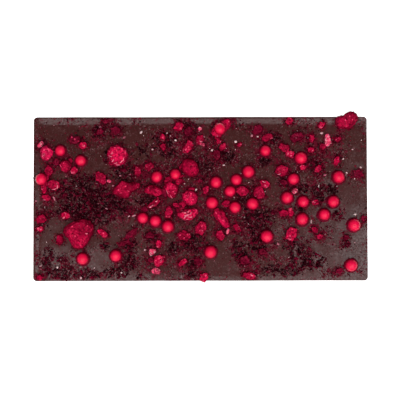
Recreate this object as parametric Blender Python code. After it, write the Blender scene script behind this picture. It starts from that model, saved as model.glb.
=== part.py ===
"""Dark chocolate bar, poured side up, strewn with freeze-dried berry pieces and red sugar pearls.

The bar lies on its plain moulded underside. X runs along its length, Y across it towards the far edge and
Z up. The origin is the middle of the underside. Lengths are in metres.
"""

import math
import random

import bmesh
import bpy
from mathutils import Matrix, Vector, noise

MM = 0.001

# Chocolate bar
BAR_LENGTH = 154.0 * MM
BAR_WIDTH = 75.7 * MM
FIELD_HEIGHT = 7.0 * MM
WALL_LEAN = 0.7 * MM
CORNER_RADIUS = 1.3 * MM
CORNER_STEPS = 3
FOOT_ROUND = 0.5 * MM
LIP_ROUND = 0.35 * MM
ROUND_STEPS = 2

# Low rim that the setting chocolate leaves along the walls
RIM_RISE = 0.5 * MM
RIM_WIDTH = 3.8 * MM
RIM_STEPS = 4

# Where the bar's edges lie in the photograph's 400 by 400 pixels: left, top, right, bottom
BAR_IN_PHOTO = (33.3, 116.6, 367.6, 280.8)

# Sugar pearls in the photograph's pixels: x, y, diameter
PEARLS = (
    (60.5, 150.5, 11), (81, 160.5, 11), (41.5, 179, 12), (83, 258.5, 12), (116, 255.5, 12),
    (143, 218, 11), (155.5, 221, 11.5), (168, 226.5, 12), (157, 177, 11.5), (175.5, 174.5, 11),
    (265.5, 151, 11), (301, 158.5, 12.5), (248.5, 172, 12), (236.5, 180, 11), (216, 182.5, 11.5),
    (230, 191.5, 11), (212, 203, 12), (235, 207.5, 11.5), (252.5, 204, 12), (293.5, 179.5, 11.5),
    (287, 198, 12), (303, 202, 12), (338.5, 177.5, 12.5), (333, 202, 12), (324, 215, 12),
    (302, 219.5, 12.5), (266.5, 236.5, 12.5), (353.5, 225.5, 13), (350.5, 265.5, 12.5), (210.5, 252, 12.5),
)
PEARL_ON_BERRY = (220.5, 129.5, 10.5)
PEARL_SEGMENTS = 10
PEARL_RINGS = 6
PEARL_LIFT = 0.76

# Large berry pieces, each a loose solid: height, then its outline in the photograph's pixels
BERRY_PIECES = {
    "berry_piece_heart": (5.0 * MM, (
        (81, 219.5), (90, 221), (94, 227), (91.5, 235), (86.5, 244), (80.5, 249), (74, 247),
        (70, 239.5), (64.5, 233.5), (67, 226))),
    "berry_piece_edge": (3.8 * MM, (
        (335.3, 122), (337, 117.5), (342.5, 116.5), (348.5, 113), (354.5, 113), (358, 116),
        (355.5, 122.5), (349, 128.3), (342, 129.3), (336.5, 126.5))),
    "berry_piece_curled": (4.6 * MM, (
        (117.5, 145), (124, 147.2), (127.3, 153.5), (126, 160), (119.5, 165.5), (112.5, 164),
        (108.7, 157.5), (108.7, 151), (112, 146.8))),
    "berry_piece_peaked": (4.0 * MM, (
        (112, 192), (116.5, 186), (122, 180.5), (128, 182.5), (138.8, 183.2), (139.5, 187),
        (133, 191), (130, 195.5), (126, 198), (119.5, 195.5))),
    "berry_piece_smooth": (4.2 * MM, (
        (183.5, 160.3), (189.5, 159.3), (195, 160.8), (197.6, 167), (197.6, 173.5), (192.5, 176.5),
        (186.5, 175), (183, 170.5), (182.3, 164.5))),
    "berry_piece_tall": (3.6 * MM, (
        (168.5, 181.3), (172, 182.8), (176.6, 184.8), (178, 190), (175.8, 195.5), (171.3, 198.2),
        (167.6, 195), (164.8, 189.5), (164.3, 184.5))),
    "berry_piece_knobbly": (3.8 * MM, (
        (188.5, 190.5), (194.5, 191.8), (197.8, 197), (196.2, 203), (191, 205.2), (185.5, 203.3),
        (182.1, 199), (183.3, 193.2))),
    "berry_piece_split": (3.4 * MM, (
        (177.3, 214), (182, 210.7), (189, 209), (197, 208), (198.3, 211.8), (194.5, 216.8),
        (189, 219.8), (182, 219.2))),
    "berry_piece_long": (3.6 * MM, (
        (217.8, 208.9), (222.6, 210.5), (226, 216), (229.3, 222.8), (229.3, 226.5), (225, 227),
        (220.5, 223.5), (216.5, 218.5), (213.8, 214), (214.3, 210.5))),
    "berry_piece_dark": (2.8 * MM, (
        (144.7, 188), (150, 185.3), (156.5, 185.8), (161.8, 189), (161.8, 194), (156.5, 195.8),
        (150, 193.5), (145.5, 191.5))),
    "berry_piece_under_pearl": (2.0 * MM, (
        (226, 118.8), (230.8, 121), (231, 125.5), (226.5, 130.5), (222.5, 135.5), (216.5, 137),
        (212, 135), (211.8, 130.5), (216, 125), (221, 121.5))),
    "berry_piece_veined": (3.2 * MM, (
        (63, 160.5), (70, 160.8), (71.3, 166), (68.6, 170.8), (64, 171.8), (60.7, 167.5), (59.7, 163))),
    "berry_piece_left": (3.2 * MM, (
        (45, 146), (50.8, 147.3), (52.7, 152), (50.8, 157), (46, 160.2), (42, 158), (40.5, 153),
        (41.5, 148.5))),
}
BERRY_POINT_SPACING = 1.7 * MM
BERRY_POINTS = (12, 20)
BERRY_GAP = 0.35 * MM
BERRY_GRAIN = 2.3 * MM
BERRY_CRAG = 0.7 * MM

# Smaller berry bits that are stuck in the chocolate, in the photograph's pixels: x, y, length, width, and
# the turn of the length from the X axis in degrees
BERRY_BITS = (
    (188, 146.5, 13.5, 8, 50), (154, 203.5, 15, 7, 35), (243, 191, 12, 9, 0), (258, 193, 12, 10, -30),
    (281.5, 171, 13, 10.5, -5), (292, 233.5, 14, 12, 60), (201.5, 228, 13, 11, 70),
    (267.5, 137.5, 11, 8, 10), (101, 178, 14, 8, -55), (249, 275.5, 14, 8, -10), (204, 277.3, 11.5, 8.5, 60),
    (159, 260, 11, 9, 45), (54, 185, 11, 9, -20), (49, 170.5, 11, 7, 90), (75, 170.5, 8, 6.5, 45),
    (44, 189, 8, 5.5, 100), (46.5, 197.5, 10, 7, -10), (179, 126.5, 10, 9, 40), (163, 137, 7.5, 5, 100),
    (163.5, 147, 7.5, 5, 100), (200, 139.5, 9.5, 8, 60), (223, 147, 8.5, 5.5, 60),
    (290, 121.5, 8, 6.5, 80), (284, 147.5, 11, 8.5, -10), (290, 154, 8, 6.5, -20),
    (311.5, 138.5, 8, 6, 80), (311, 150, 7, 5.5, 0), (322, 125, 7, 5.5, 60),
    (323, 147, 7, 6, 30), (328, 140, 12, 7, 85), (338, 139.5, 7, 5.5, 20), (337, 161.5, 10, 6, 80),
    (138, 171.5, 9, 6, 80), (149.5, 166, 9, 8, 20), (168.5, 212.5, 12, 6.5, 80), (206, 190, 8, 5.5, 75),
    (264.5, 184, 10.5, 7, -25), (225, 203, 7.5, 7, 0), (318.5, 169, 8, 6.5, 60), (314.8, 202.5, 7, 5, 0),
    (283.5, 213, 8.5, 6.5, 20), (290.5, 212.5, 9, 5, 90), (314.5, 230, 8.5, 6.5, -30), (320, 237, 8, 7, 0),
    (41.5, 218.5, 9, 8.5, 30), (40, 228.5, 7, 5.5, 0), (65.5, 215.5, 8, 7.5, 0), (60, 239.5, 9.5, 8, 90),
    (39.8, 277, 7, 5, 0), (103, 233.5, 11, 7, -35), (159, 244, 7, 5.5, 70), (184, 236, 13, 8, -5),
    (220, 235.5, 11, 8, -50), (237, 228, 9.5, 5.5, -50), (183, 262, 11, 6.5, 35), (83, 144.8, 7.5, 6.5, 20),
)
DARK_BITS = (
    (75, 139.5, 12, 8.5, -5), (116, 130, 9, 7.5, 0), (56, 162, 7, 6.5, 0), (258, 129.5, 10, 7.5, 45),
    (297, 137, 13, 9, 20), (217, 155, 10, 7, 80), (144.5, 209.5, 7.5, 5.5, 0), (346, 237.5, 6.5, 6, 0),
    (363.3, 218.5, 9, 6, 90), (342, 271.5, 11, 9, 20), (359, 174, 9, 8, 0), (150, 236, 8.5, 6.5, 0),
    (198, 262, 8.5, 7, 0), (131, 234, 13, 5.5, 40), (124, 243, 13, 4.5, 20), (244.5, 260.5, 10, 8.5, 0),
    (262, 252, 7.5, 6.5, 0), (189, 131.5, 9, 7, 80), (99.5, 131, 8, 7, 40), (284, 183, 7, 5.5, 0),
)
PALE_BITS = (
    (39.5, 143.3, 5.5, 4.5, 40), (110, 181.3, 7.5, 5, -10), (152, 251.5, 8, 5.5, 50),
    (156, 270.8, 8.5, 6, -15), (294.8, 191, 5.5, 5, 40), (227.5, 231.5, 6, 3, 70),
)
BIT_CORNERS = (6, 7)
BIT_LARGE = 9.5
BIT_HEIGHT = 0.42
BIT_SINK = 0.45 * MM

# Drifts of dark crumbs in the photograph's pixels: x, y, half width, half height, number of crumbs
CRUMB_DRIFTS = (
    (82, 190, 24, 12, 18), (80, 209, 22, 8, 12), (48, 256, 6, 8, 4), (132, 262, 6, 6, 3),
    (196, 245, 5, 8, 3), (262, 224, 24, 14, 14), (297, 262, 12, 16, 7), (312, 261, 9, 9, 4),
    (286, 272, 16, 5, 4), (96, 272, 36, 5, 6), (172, 251, 6, 5, 2),
)
CRUMB_SIZE = (1.5 * MM, 2.6 * MM)
CRUMB_CORNERS = 5
CRUMB_HEIGHT = 0.5
CRUMB_TRIES = 40
CLEARANCE = 0.5 * MM
SEED = 7

# Colours
CHOCOLATE = ("dark_chocolate", (0.052, 0.021, 0.018), 0.42)
PEARL_RED = ("pearl_red", (0.86, 0.010, 0.075), 0.38)
BERRY_CRIMSON = ("berry_crimson", (0.30, 0.003, 0.030), 0.75)
BERRY_DARK = ("berry_dark", (0.090, 0.005, 0.018), 0.80)
BERRY_PALE = ("berry_pale", (0.75, 0.20, 0.27), 0.70)


def clear_scene():
    """Removes every object there is."""
    for leftover in list(bpy.data.objects):
        bpy.data.objects.remove(leftover, do_unlink=True)


def material(spec):
    """Principled material of a name, a colour and a roughness, made once."""
    name, colour, roughness = spec
    if name in bpy.data.materials:
        return bpy.data.materials[name]
    made = bpy.data.materials.new(name)
    made.use_nodes = True
    made.diffuse_color = (*colour, 1.0)
    shader = made.node_tree.nodes["Principled BSDF"]
    shader.inputs["Base Color"].default_value = (*colour, 1.0)
    shader.inputs["Roughness"].default_value = roughness
    shader.inputs["Metallic"].default_value = 0.0
    return made


def scale_of_photo():
    """Metres to a pixel along X and along Y."""
    left, top, right, bottom = BAR_IN_PHOTO
    return BAR_LENGTH / (right - left), BAR_WIDTH / (bottom - top)


def on_bar(pixel_x, pixel_y):
    """The place on the bar that a pixel of the photograph shows."""
    left, top, right, bottom = BAR_IN_PHOTO
    along, across = scale_of_photo()
    return Vector(((pixel_x - (left + right) / 2) * along, ((top + bottom) / 2 - pixel_y) * across))


def rim_profile():
    """Pairs of distance in from the outline and height, from the lip down to the poured field."""
    crest = FIELD_HEIGHT + RIM_RISE
    pairs = []
    for step in range(ROUND_STEPS + 1):
        angle = math.radians(90) * step / ROUND_STEPS
        pairs.append((LIP_ROUND * (1 - math.cos(angle)), crest - LIP_ROUND * (1 - math.sin(angle))))
    for step in range(1, RIM_STEPS + 1):
        share = step / RIM_STEPS
        fall = (1 + math.cos(math.pi * share)) / 2
        pairs.append((LIP_ROUND + (RIM_WIDTH - LIP_ROUND) * share, FIELD_HEIGHT + RIM_RISE * fall))
    return pairs


def foot_profile():
    """Pairs of distance in from the outline and height, from the underside's edge up to the wall."""
    pairs = []
    for step in range(ROUND_STEPS + 1):
        angle = math.radians(90) * step / ROUND_STEPS
        pairs.append((WALL_LEAN + FOOT_ROUND * (1 - math.sin(angle)), FOOT_ROUND * (1 - math.cos(angle))))
    return pairs


def surface_height(x, y):
    """Height of the chocolate's top at a place, and of the lip's crest past the edge."""
    inward = min(BAR_LENGTH / 2 - abs(x), BAR_WIDTH / 2 - abs(y))
    pairs = [pair for pair in rim_profile() if pair[0] >= LIP_ROUND * 0.99]
    if inward <= pairs[0][0]:
        return pairs[0][1]
    for (near, high), (far, low) in zip(pairs, pairs[1:]):
        if inward <= far:
            return high + (low - high) * (inward - near) / (far - near)
    return FIELD_HEIGHT


def bar_outline(inset):
    """Points of the bar's rounded rectangle, drawn in by an inset."""
    points = []
    for corner, (side_x, side_y) in enumerate(((1, -1), (1, 1), (-1, 1), (-1, -1))):
        middle_x = side_x * (BAR_LENGTH / 2 - inset - CORNER_RADIUS)
        middle_y = side_y * (BAR_WIDTH / 2 - inset - CORNER_RADIUS)
        for step in range(CORNER_STEPS + 1):
            angle = math.radians(90) * (corner - 1 + step / CORNER_STEPS)
            x = middle_x + CORNER_RADIUS * math.cos(angle)
            y = middle_y + CORNER_RADIUS * math.sin(angle)
            points.append((x, y))
    return points


def join_rings(shape, lower, upper):
    """Faces between two rings of the same number of points."""
    for index in range(len(lower)):
        following = (index + 1) % len(lower)
        shape.faces.new((lower[index], lower[following], upper[following], upper[index]))


def finish_object(name, shape, spec, collection=None):
    """Turns a bmesh into a smooth-shaded object with its material."""
    bmesh.ops.recalc_face_normals(shape, faces=shape.faces)
    mesh = bpy.data.meshes.new(name)
    shape.to_mesh(mesh)
    shape.free()
    mesh.materials.append(material(spec))
    mesh.shade_smooth()
    mesh.set_sharp_from_angle(angle=math.radians(40))
    made = bpy.data.objects.new(name, mesh)
    (collection or bpy.context.scene.collection).objects.link(made)
    return made


def chocolate_slab():
    """The bar alone: underside, leaning walls, rounded lip, rim and flat poured field."""
    shape = bmesh.new()
    rings = []
    for inset, height in foot_profile() + rim_profile():
        rings.append([shape.verts.new((x, y, height)) for x, y in bar_outline(inset)])
    for lower, upper in zip(rings, rings[1:]):
        join_rings(shape, lower, upper)
    shape.faces.new(reversed(rings[0]))
    shape.faces.new(rings[-1])
    return finish_object("chocolate_bar", shape, CHOCOLATE)


def pearl(pixel_x, pixel_y, pixel_diameter, index, collection, base=0.0):
    """A slightly uneven sugar pearl that sits a little way into what carries it."""
    middle = on_bar(pixel_x, pixel_y)
    radius = pixel_diameter * scale_of_photo()[0] / 2
    chance = random.Random(SEED + index)
    shape = bmesh.new()
    bmesh.ops.create_uvsphere(shape, u_segments=PEARL_SEGMENTS, v_segments=PEARL_RINGS, radius=radius)
    stretch = Vector((chance.uniform(0.97, 1.03), chance.uniform(0.97, 1.03), chance.uniform(0.95, 1.0)))
    bmesh.ops.scale(shape, vec=stretch, verts=shape.verts)
    spin = Matrix.Rotation(chance.uniform(0, math.tau), 3, "Z")
    bmesh.ops.rotate(shape, matrix=spin, verts=shape.verts)
    height = surface_height(*middle) + base + radius * PEARL_LIFT
    bmesh.ops.translate(shape, vec=(*middle, height), verts=shape.verts)
    return finish_object(f"pearl_{index:02d}", shape, PEARL_RED, collection)


def lump(middle, offsets, levels, crown, grain, crag):
    """Closed craggy lump over the chocolate.

    The outline's offsets about the middle are repeated at each level, which is a pair of the outline's scale
    and the height over the chocolate. The lump is fanned shut below and at the crown's height. Points over
    the chocolate are moved by up to the crag, in a pattern as coarse as the grain.
    """
    shape = bmesh.new()

    def point(dx, dy, height):
        x, y = middle[0] + dx, middle[1] + dy
        place = Vector((x, y, surface_height(x, y) + height))
        if height > BERRY_GAP:
            place += noise.noise_vector(place / grain) * crag
        return shape.verts.new(place)

    rings = []
    for scale, height in levels:
        rings.append([point(dx * scale, dy * scale, height) for dx, dy in offsets])
    for lower, upper in zip(rings, rings[1:]):
        join_rings(shape, lower, upper)
    below = point(0, 0, levels[0][1])
    above = point(0, 0, crown)
    for index in range(len(offsets)):
        following = (index + 1) % len(offsets)
        shape.faces.new((below, rings[0][following], rings[0][index]))
        shape.faces.new((above, rings[-1][index], rings[-1][following]))
    return shape


def rounded_outline(corners, count):
    """Points evenly spaced along a smooth closed curve through the corners."""
    fine = []
    for index in range(len(corners)):
        before, start, end, after = (corners[(index + shift) % len(corners)] for shift in (-1, 0, 1, 2))
        for step in range(8):
            share = step / 8
            fine.append(0.5 * (2 * start + (end - before) * share
                               + (2 * before - 5 * start + 4 * end - after) * share ** 2
                               + (3 * start - before - 3 * end + after) * share ** 3))
    lengths = [(fine[(index + 1) % len(fine)] - fine[index]).length for index in range(len(fine))]
    spacing = sum(lengths) / count
    points, walked = [], 0.0
    for place, length in zip(fine, lengths):
        if walked >= len(points) * spacing - 1e-9 and len(points) < count:
            points.append(place)
        walked += length
    return points


def berry_outline(name):
    """Outline of a large berry piece on the bar, as points."""
    corners = [on_bar(x, y) for x, y in BERRY_PIECES[name][1]]
    around = sum((a - b).length for a, b in zip(corners, corners[1:] + corners[:1]))
    fewest, most = BERRY_POINTS
    return rounded_outline(corners, max(fewest, min(most, round(around / BERRY_POINT_SPACING))))


def berry_piece(name):
    """A large berry piece, resting just clear of the chocolate."""
    height = BERRY_PIECES[name][0]
    outline = berry_outline(name)
    middle = sum(outline, Vector((0, 0))) / len(outline)
    offsets = [point - middle for point in outline]
    levels = ((0.45, BERRY_GAP), (0.86, BERRY_GAP), (1.0, 0.32 * height), (0.95, 0.62 * height),
              (0.74, 0.88 * height), (0.40, 0.98 * height))
    shape = lump(middle, offsets, levels, height, BERRY_GRAIN, BERRY_CRAG)
    return finish_object(name, shape, BERRY_CRIMSON)


def broken_outline(length, width, turn, corners, chance):
    """Offsets of an uneven many-cornered outline about its middle."""
    cosine, sine = math.cos(turn), math.sin(turn)
    offsets = []
    for corner in range(corners):
        angle = math.tau * (corner + chance.uniform(-0.22, 0.22)) / corners
        reach = chance.uniform(0.84, 1.04)
        x, y = reach * math.cos(angle) * length / 2, reach * math.sin(angle) * width / 2
        offsets.append(Vector((x * cosine - y * sine, x * sine + y * cosine)))
    return offsets


def berry_bit(row, index, spec, collection):
    """A smaller berry bit that is stuck in the chocolate."""
    pixel_x, pixel_y, pixel_length, pixel_width, turn = row
    pixel = scale_of_photo()[0]
    chance = random.Random(SEED * 100 + index)
    large = pixel_length > BIT_LARGE
    offsets = broken_outline(pixel_length * pixel, pixel_width * pixel, math.radians(turn),
                             BIT_CORNERS[large], chance)
    height = pixel_width * pixel * BIT_HEIGHT * chance.uniform(0.85, 1.2)
    if large:
        levels = ((0.8, -BIT_SINK), (1.0, 0.35 * height), (0.62, 0.92 * height))
    else:
        levels = ((1.0, -BIT_SINK), (0.85, 0.7 * height))
    shape = lump(on_bar(pixel_x, pixel_y), offsets, levels, height, BERRY_GRAIN, BERRY_CRAG / 3)
    return finish_object(f"bit_{index:03d}", shape, spec, collection)


def inside(place, outline):
    """Whether a place lies within a closed outline."""
    crossings = 0
    for start, end in zip(outline, outline[1:] + outline[:1]):
        if (start.y > place.y) != (end.y > place.y):
            cross_x = start.x + (place.y - start.y) / (end.y - start.y) * (end.x - start.x)
            crossings += cross_x > place.x
    return crossings % 2 == 1


def crumb_places():
    """Middle and size of every dark crumb, drawn drift by drift, clear of all that lies there already."""
    chance = random.Random(SEED)
    pixel = scale_of_photo()[0]
    taken = [(on_bar(x, y), diameter * pixel / 2) for x, y, diameter in PEARLS + (PEARL_ON_BERRY,)]
    taken += [(on_bar(x, y), length * pixel / 2)
              for x, y, length, width, turn in BERRY_BITS + DARK_BITS + PALE_BITS]
    outlines = [berry_outline(name) for name in BERRY_PIECES]
    places = []
    for middle_x, middle_y, half_width, half_height, number in CRUMB_DRIFTS:
        placed = 0
        for attempt in range(CRUMB_TRIES * number):
            angle, reach = chance.uniform(0, math.tau), math.sqrt(chance.random())
            place = on_bar(middle_x + half_width * reach * math.cos(angle),
                           middle_y + half_height * reach * math.sin(angle))
            size = chance.uniform(*CRUMB_SIZE)
            room = size / 2 + CLEARANCE
            near = any((place - other).length < radius + room for other, radius in taken)
            near = near or any(inside(place, outline) for outline in outlines)
            near = near or any((place - corner).length < room + BERRY_POINT_SPACING / 2
                               for outline in outlines for corner in outline)
            if near:
                continue
            taken.append((place, size / 2))
            places.append((place, size))
            placed += 1
            if placed == number:
                break
    return places


def crumb(place, size, index, collection):
    """A small dark crumb that is stuck in the chocolate."""
    chance = random.Random(SEED * 1000 + index)
    offsets = broken_outline(size, size * chance.uniform(0.6, 1.0), chance.uniform(0, math.tau),
                             CRUMB_CORNERS, chance)
    height = size * CRUMB_HEIGHT * chance.uniform(0.7, 1.2)
    levels = ((0.9, -BIT_SINK), (0.8, 0.75 * height))
    shape = lump(place, offsets, levels, height, BERRY_GRAIN, 0.0)
    return finish_object(f"crumb_{index:03d}", shape, BERRY_DARK, collection)


def fuse(base, collection):
    """Joins a collection's objects to the base as one body, and removes them."""
    union = base.modifiers.new("fuse", "BOOLEAN")
    union.operation = "UNION"
    union.operand_type = "COLLECTION"
    union.collection = collection
    union.solver = "EXACT"
    union.material_mode = "TRANSFER"
    depsgraph = bpy.context.evaluated_depsgraph_get()
    joined = bpy.data.meshes.new_from_object(base.evaluated_get(depsgraph), depsgraph=depsgraph)
    joined.name = base.name
    base.modifiers.remove(union)
    base.data = joined
    for fused in list(collection.objects):
        bpy.data.objects.remove(fused, do_unlink=True)
    bpy.data.collections.remove(collection)
    joined.shade_smooth()
    joined.set_sharp_from_angle(angle=math.radians(40))


def new_collection(name):
    """An empty collection in the scene."""
    made = bpy.data.collections.new(name)
    bpy.context.scene.collection.children.link(made)
    return made


def build():
    """Builds the bar with all that is stuck in it, then the large berry pieces that lie on it."""
    clear_scene()
    noise.seed_set(SEED)
    slab = chocolate_slab()
    stuck = new_collection("stuck_in_chocolate")
    for index, (x, y, diameter) in enumerate(PEARLS):
        pearl(x, y, diameter, index, stuck)
    index = 0
    for rows, spec in ((BERRY_BITS, BERRY_CRIMSON), (DARK_BITS, BERRY_DARK), (PALE_BITS, BERRY_PALE)):
        for row in rows:
            berry_bit(row, index, spec, stuck)
            index += 1
    for index, (place, size) in enumerate(crumb_places()):
        crumb(place, size, index, stuck)
    fuse(slab, stuck)

    pieces = {name: berry_piece(name) for name in BERRY_PIECES}
    carried = new_collection("carried_by_berry")
    pearl(*PEARL_ON_BERRY, len(PEARLS), carried, base=0.8 * BERRY_PIECES["berry_piece_under_pearl"][0])
    fuse(pieces["berry_piece_under_pearl"], carried)


build()
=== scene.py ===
"""Looks of a dark chocolate bar, poured side up, strewn with freeze-dried berry pieces and red sugar pearls.

Run as a script it dresses the bar piece by piece. Lengths are in metres, in the bar's own frame: X along its
length, Y across it to the far edge, Z up, with the origin in the middle of the underside.
"""

import math
import random

import bmesh
import bpy
import numpy as np
from bpy.props import FloatProperty, FloatVectorProperty, IntProperty, PointerProperty
from mathutils import Euler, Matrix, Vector, noise
from mathutils.bvhtree import BVHTree


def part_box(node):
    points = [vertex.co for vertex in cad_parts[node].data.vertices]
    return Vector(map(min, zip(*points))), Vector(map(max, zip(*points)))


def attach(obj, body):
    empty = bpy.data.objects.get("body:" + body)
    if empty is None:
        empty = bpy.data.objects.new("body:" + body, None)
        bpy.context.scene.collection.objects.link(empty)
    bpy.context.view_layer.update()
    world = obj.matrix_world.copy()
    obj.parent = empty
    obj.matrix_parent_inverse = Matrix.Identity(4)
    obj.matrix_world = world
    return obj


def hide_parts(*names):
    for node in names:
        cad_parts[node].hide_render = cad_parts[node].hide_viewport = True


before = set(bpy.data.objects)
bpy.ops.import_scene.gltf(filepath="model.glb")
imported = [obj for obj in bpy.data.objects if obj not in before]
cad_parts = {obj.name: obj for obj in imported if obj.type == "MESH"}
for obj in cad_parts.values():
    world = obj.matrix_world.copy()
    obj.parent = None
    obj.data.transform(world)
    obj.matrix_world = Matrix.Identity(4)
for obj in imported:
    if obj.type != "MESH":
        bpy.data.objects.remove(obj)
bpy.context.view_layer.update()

bl_info = {
    "name": "Strewn Chocolate Bar",
    "version": (1, 0, 0),
    "blender": (4, 5, 0),
    "location": "View3D > Sidebar > Chocolate Bar",
    "description": "Models a dark chocolate bar with berry pieces and sugar pearls, piece by piece",
    "category": "Object",
}

MM = 0.001
NEARLY_ZERO = 1e-6

# A height well over the bar, from which heights are measured downward
LOOKOUT = 100 * MM

BODY = "root"
SEED = 7

# The bar's own size, from the frame. A bit hangs over its near edge, so the far edge gives its width.
BAR_LOW, BAR_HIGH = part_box("chocolate_bar")
BAR_LENGTH = BAR_HIGH.x - BAR_LOW.x
BAR_WIDTH = 2 * BAR_HIGH.y

# The photograph's width and height in pixels, and the bar's edges in it: left, top, right, bottom
PHOTO_SIZE = 400
BAR_IN_PHOTO = (33.3, 116.6, 367.6, 280.8)
PIXEL = BAR_LENGTH / (BAR_IN_PHOTO[2] - BAR_IN_PHOTO[0])

# Sugar pearls in the photograph's pixels: x, y, diameter. The last one lies on a berry piece.
PEARLS = (
    (60.5, 150.5, 11), (81, 160.5, 11), (41.5, 179, 12), (83, 258.5, 12), (116, 255.5, 12), (143, 218, 11),
    (155.5, 221, 11.5), (168, 226.5, 12), (157, 177, 11.5), (175.5, 174.5, 11), (265.5, 151, 11),
    (301, 158.5, 12.5), (248.5, 172, 12), (236.5, 180, 11), (216, 182.5, 11.5), (230, 191.5, 11),
    (212, 203, 12), (235, 207.5, 11.5), (252.5, 204, 12), (293.5, 179.5, 11.5), (287, 198, 12),
    (303, 202, 12), (338.5, 177.5, 12.5), (333, 202, 12), (324, 215, 12), (302, 219.5, 12.5),
    (266.5, 236.5, 12.5), (353.5, 225.5, 13), (350.5, 265.5, 12.5), (210.5, 252, 12.5), (220, 129.3, 12),
)

# How high over the slab the last pearl's foot lies
PEARL_ON_BERRY_BASE = 1.2 * MM

# The share of a pearl's radius inside which nothing else is strewn
PEARL_FOOT = 0.80

# Large berry pieces: the node that each replaces, its own name and its kind of fruit
BERRY_PIECES = {
    "berry_piece_heart": ("heart_berry", "felted_dull"),
    "berry_piece_edge": ("edge_berry", "craggy"),
    "berry_piece_curled": ("curled_berry", "flecked"),
    "berry_piece_peaked": ("peaked_berry", "felted_dull"),
    "berry_piece_smooth": ("smooth_berry", "felted"),
    "berry_piece_tall": ("tall_berry", "felted_bright"),
    "berry_piece_knobbly": ("knobbly_berry", "flecked"),
    "berry_piece_split": ("split_berry", "flecked"),
    "berry_piece_long": ("long_berry", "felted_bright"),
    "berry_piece_dark": ("dark_berry", "felted_dull"),
    "berry_piece_under_pearl": ("pearl_carrying_berry", "bright"),
    "berry_piece_veined": ("veined_berry", "craggy"),
    "berry_piece_left": ("left_berry", "lively"),
}

# Kinds of fruit: brightness from burgundy at -1 over crimson at 0 to bright at 1, share of pale flecks,
# size of the drupelets and depth of the relief
FRUIT_KINDS = {
    "felted_dull": (-0.20, 0.20, 0.9 * MM, 0.26 * MM),
    "felted": (0.05, 0.10, 0.9 * MM, 0.26 * MM),
    "felted_bright": (0.35, 0.30, 1.0 * MM, 0.32 * MM),
    "craggy": (-0.30, 0.35, 1.3 * MM, 0.50 * MM),
    "flecked": (0.60, 0.65, 1.2 * MM, 0.50 * MM),
    "bright": (0.08, 0.75, 1.3 * MM, 0.50 * MM),
    "lively": (1.00, 0.60, 1.3 * MM, 0.52 * MM),
    "deep": (-0.95, 0.10, 1.1 * MM, 0.44 * MM),
    "pale": (0.60, 1.00, 1.0 * MM, 0.40 * MM),
}

# Smaller bits in the photograph's pixels: x, y, length, width, turn of the length in degrees
CRIMSON_BITS = (
    (154, 203.5, 15, 7, 35), (243, 191, 12, 9, 0), (258, 193, 12, 10, -30), (281.5, 171, 13, 10.5, -5),
    (201, 227.5, 12, 10, 70), (267.5, 137.5, 11, 8, 10), (101, 178, 14, 8, -55), (54, 185, 11, 9, -20),
    (49, 170.5, 11, 7, 90), (47, 197.5, 9, 6, -10), (163.5, 147, 7.5, 5, 100), (200, 139.5, 9.5, 8, 60),
    (223, 147, 8.5, 5.5, 60), (290, 121.5, 8, 6.5, 80), (284.5, 148, 10, 8, -10), (311.5, 138.5, 8, 6, 80),
    (323, 147, 7, 6, 30), (338, 139.5, 7, 5.5, 20), (138, 171.5, 9, 6, 80), (149.5, 166, 9, 8, 20),
    (168.5, 212.5, 12, 6.5, 80), (206, 190, 8, 5.5, 75), (226, 204, 8, 7, 0), (318.5, 169, 8, 6.5, 60),
    (283.5, 213, 8.5, 6.5, 20), (314.5, 230, 7, 5, -30), (320, 237, 6.5, 5.5, 0), (41.5, 218.5, 9, 8.5, 30),
    (60, 239.5, 9.5, 8, 90), (39.8, 277, 7, 5, 0), (184, 236, 13, 8, -5), (220, 235.5, 10, 7.5, -50),
    (237, 228, 9.5, 5.5, -50), (249, 275.5, 13, 7, -10), (181, 210, 9, 4.5, 15), (216.5, 155, 7, 5.5, 80),
    (218, 137, 6, 5, 60), (69, 162, 8, 4.5, 50), (179, 181.5, 7, 5, 30), (45.5, 184, 6.5, 5, 60),
    (47, 177.5, 6, 4, 80), (191.5, 189, 7, 4, 10), (176, 205, 7, 4, -20), (131, 186, 9, 5, 20),
    (168.5, 181, 9, 7, 40), (184, 204, 9, 5, 10), (182.5, 167, 7, 6, 80), (180, 176, 6, 4, 0),
    (217, 218, 8, 4, -60),
)
BRIGHT_BITS = (
    (188, 146.5, 13.5, 8, 50), (291, 234, 13, 11, 60), (203.5, 276.8, 10.5, 7.5, 60), (159, 260, 11, 9, 45),
    (74, 170, 7, 6, 45), (44, 189, 8, 5.5, 100), (179, 126.5, 10, 9, 40), (163, 137, 7.5, 5, 100),
    (290, 154, 8, 6.5, -20), (311, 150, 7, 5.5, 0), (322, 125, 7, 5.5, 60), (337, 161.5, 10, 6, 80),
    (264.5, 184, 10.5, 7, -25), (314.8, 202.5, 7, 5, 0), (290.5, 212.5, 9, 5, 90), (40, 228.5, 7, 5.5, 0),
    (65.5, 215.5, 8, 7.5, 0), (103, 233.5, 11, 7, -35), (159, 244, 7, 5.5, 70), (182.5, 262, 9.5, 5.5, 35),
    (83, 144.8, 7.5, 6.5, 20), (303, 167.5, 6, 4.5, 0), (240, 145, 5, 4, 30), (219, 141.5, 5, 4, 0),
    (46.5, 147.5, 7, 5, 20), (112, 162.5, 6, 5, 40),
)
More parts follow.
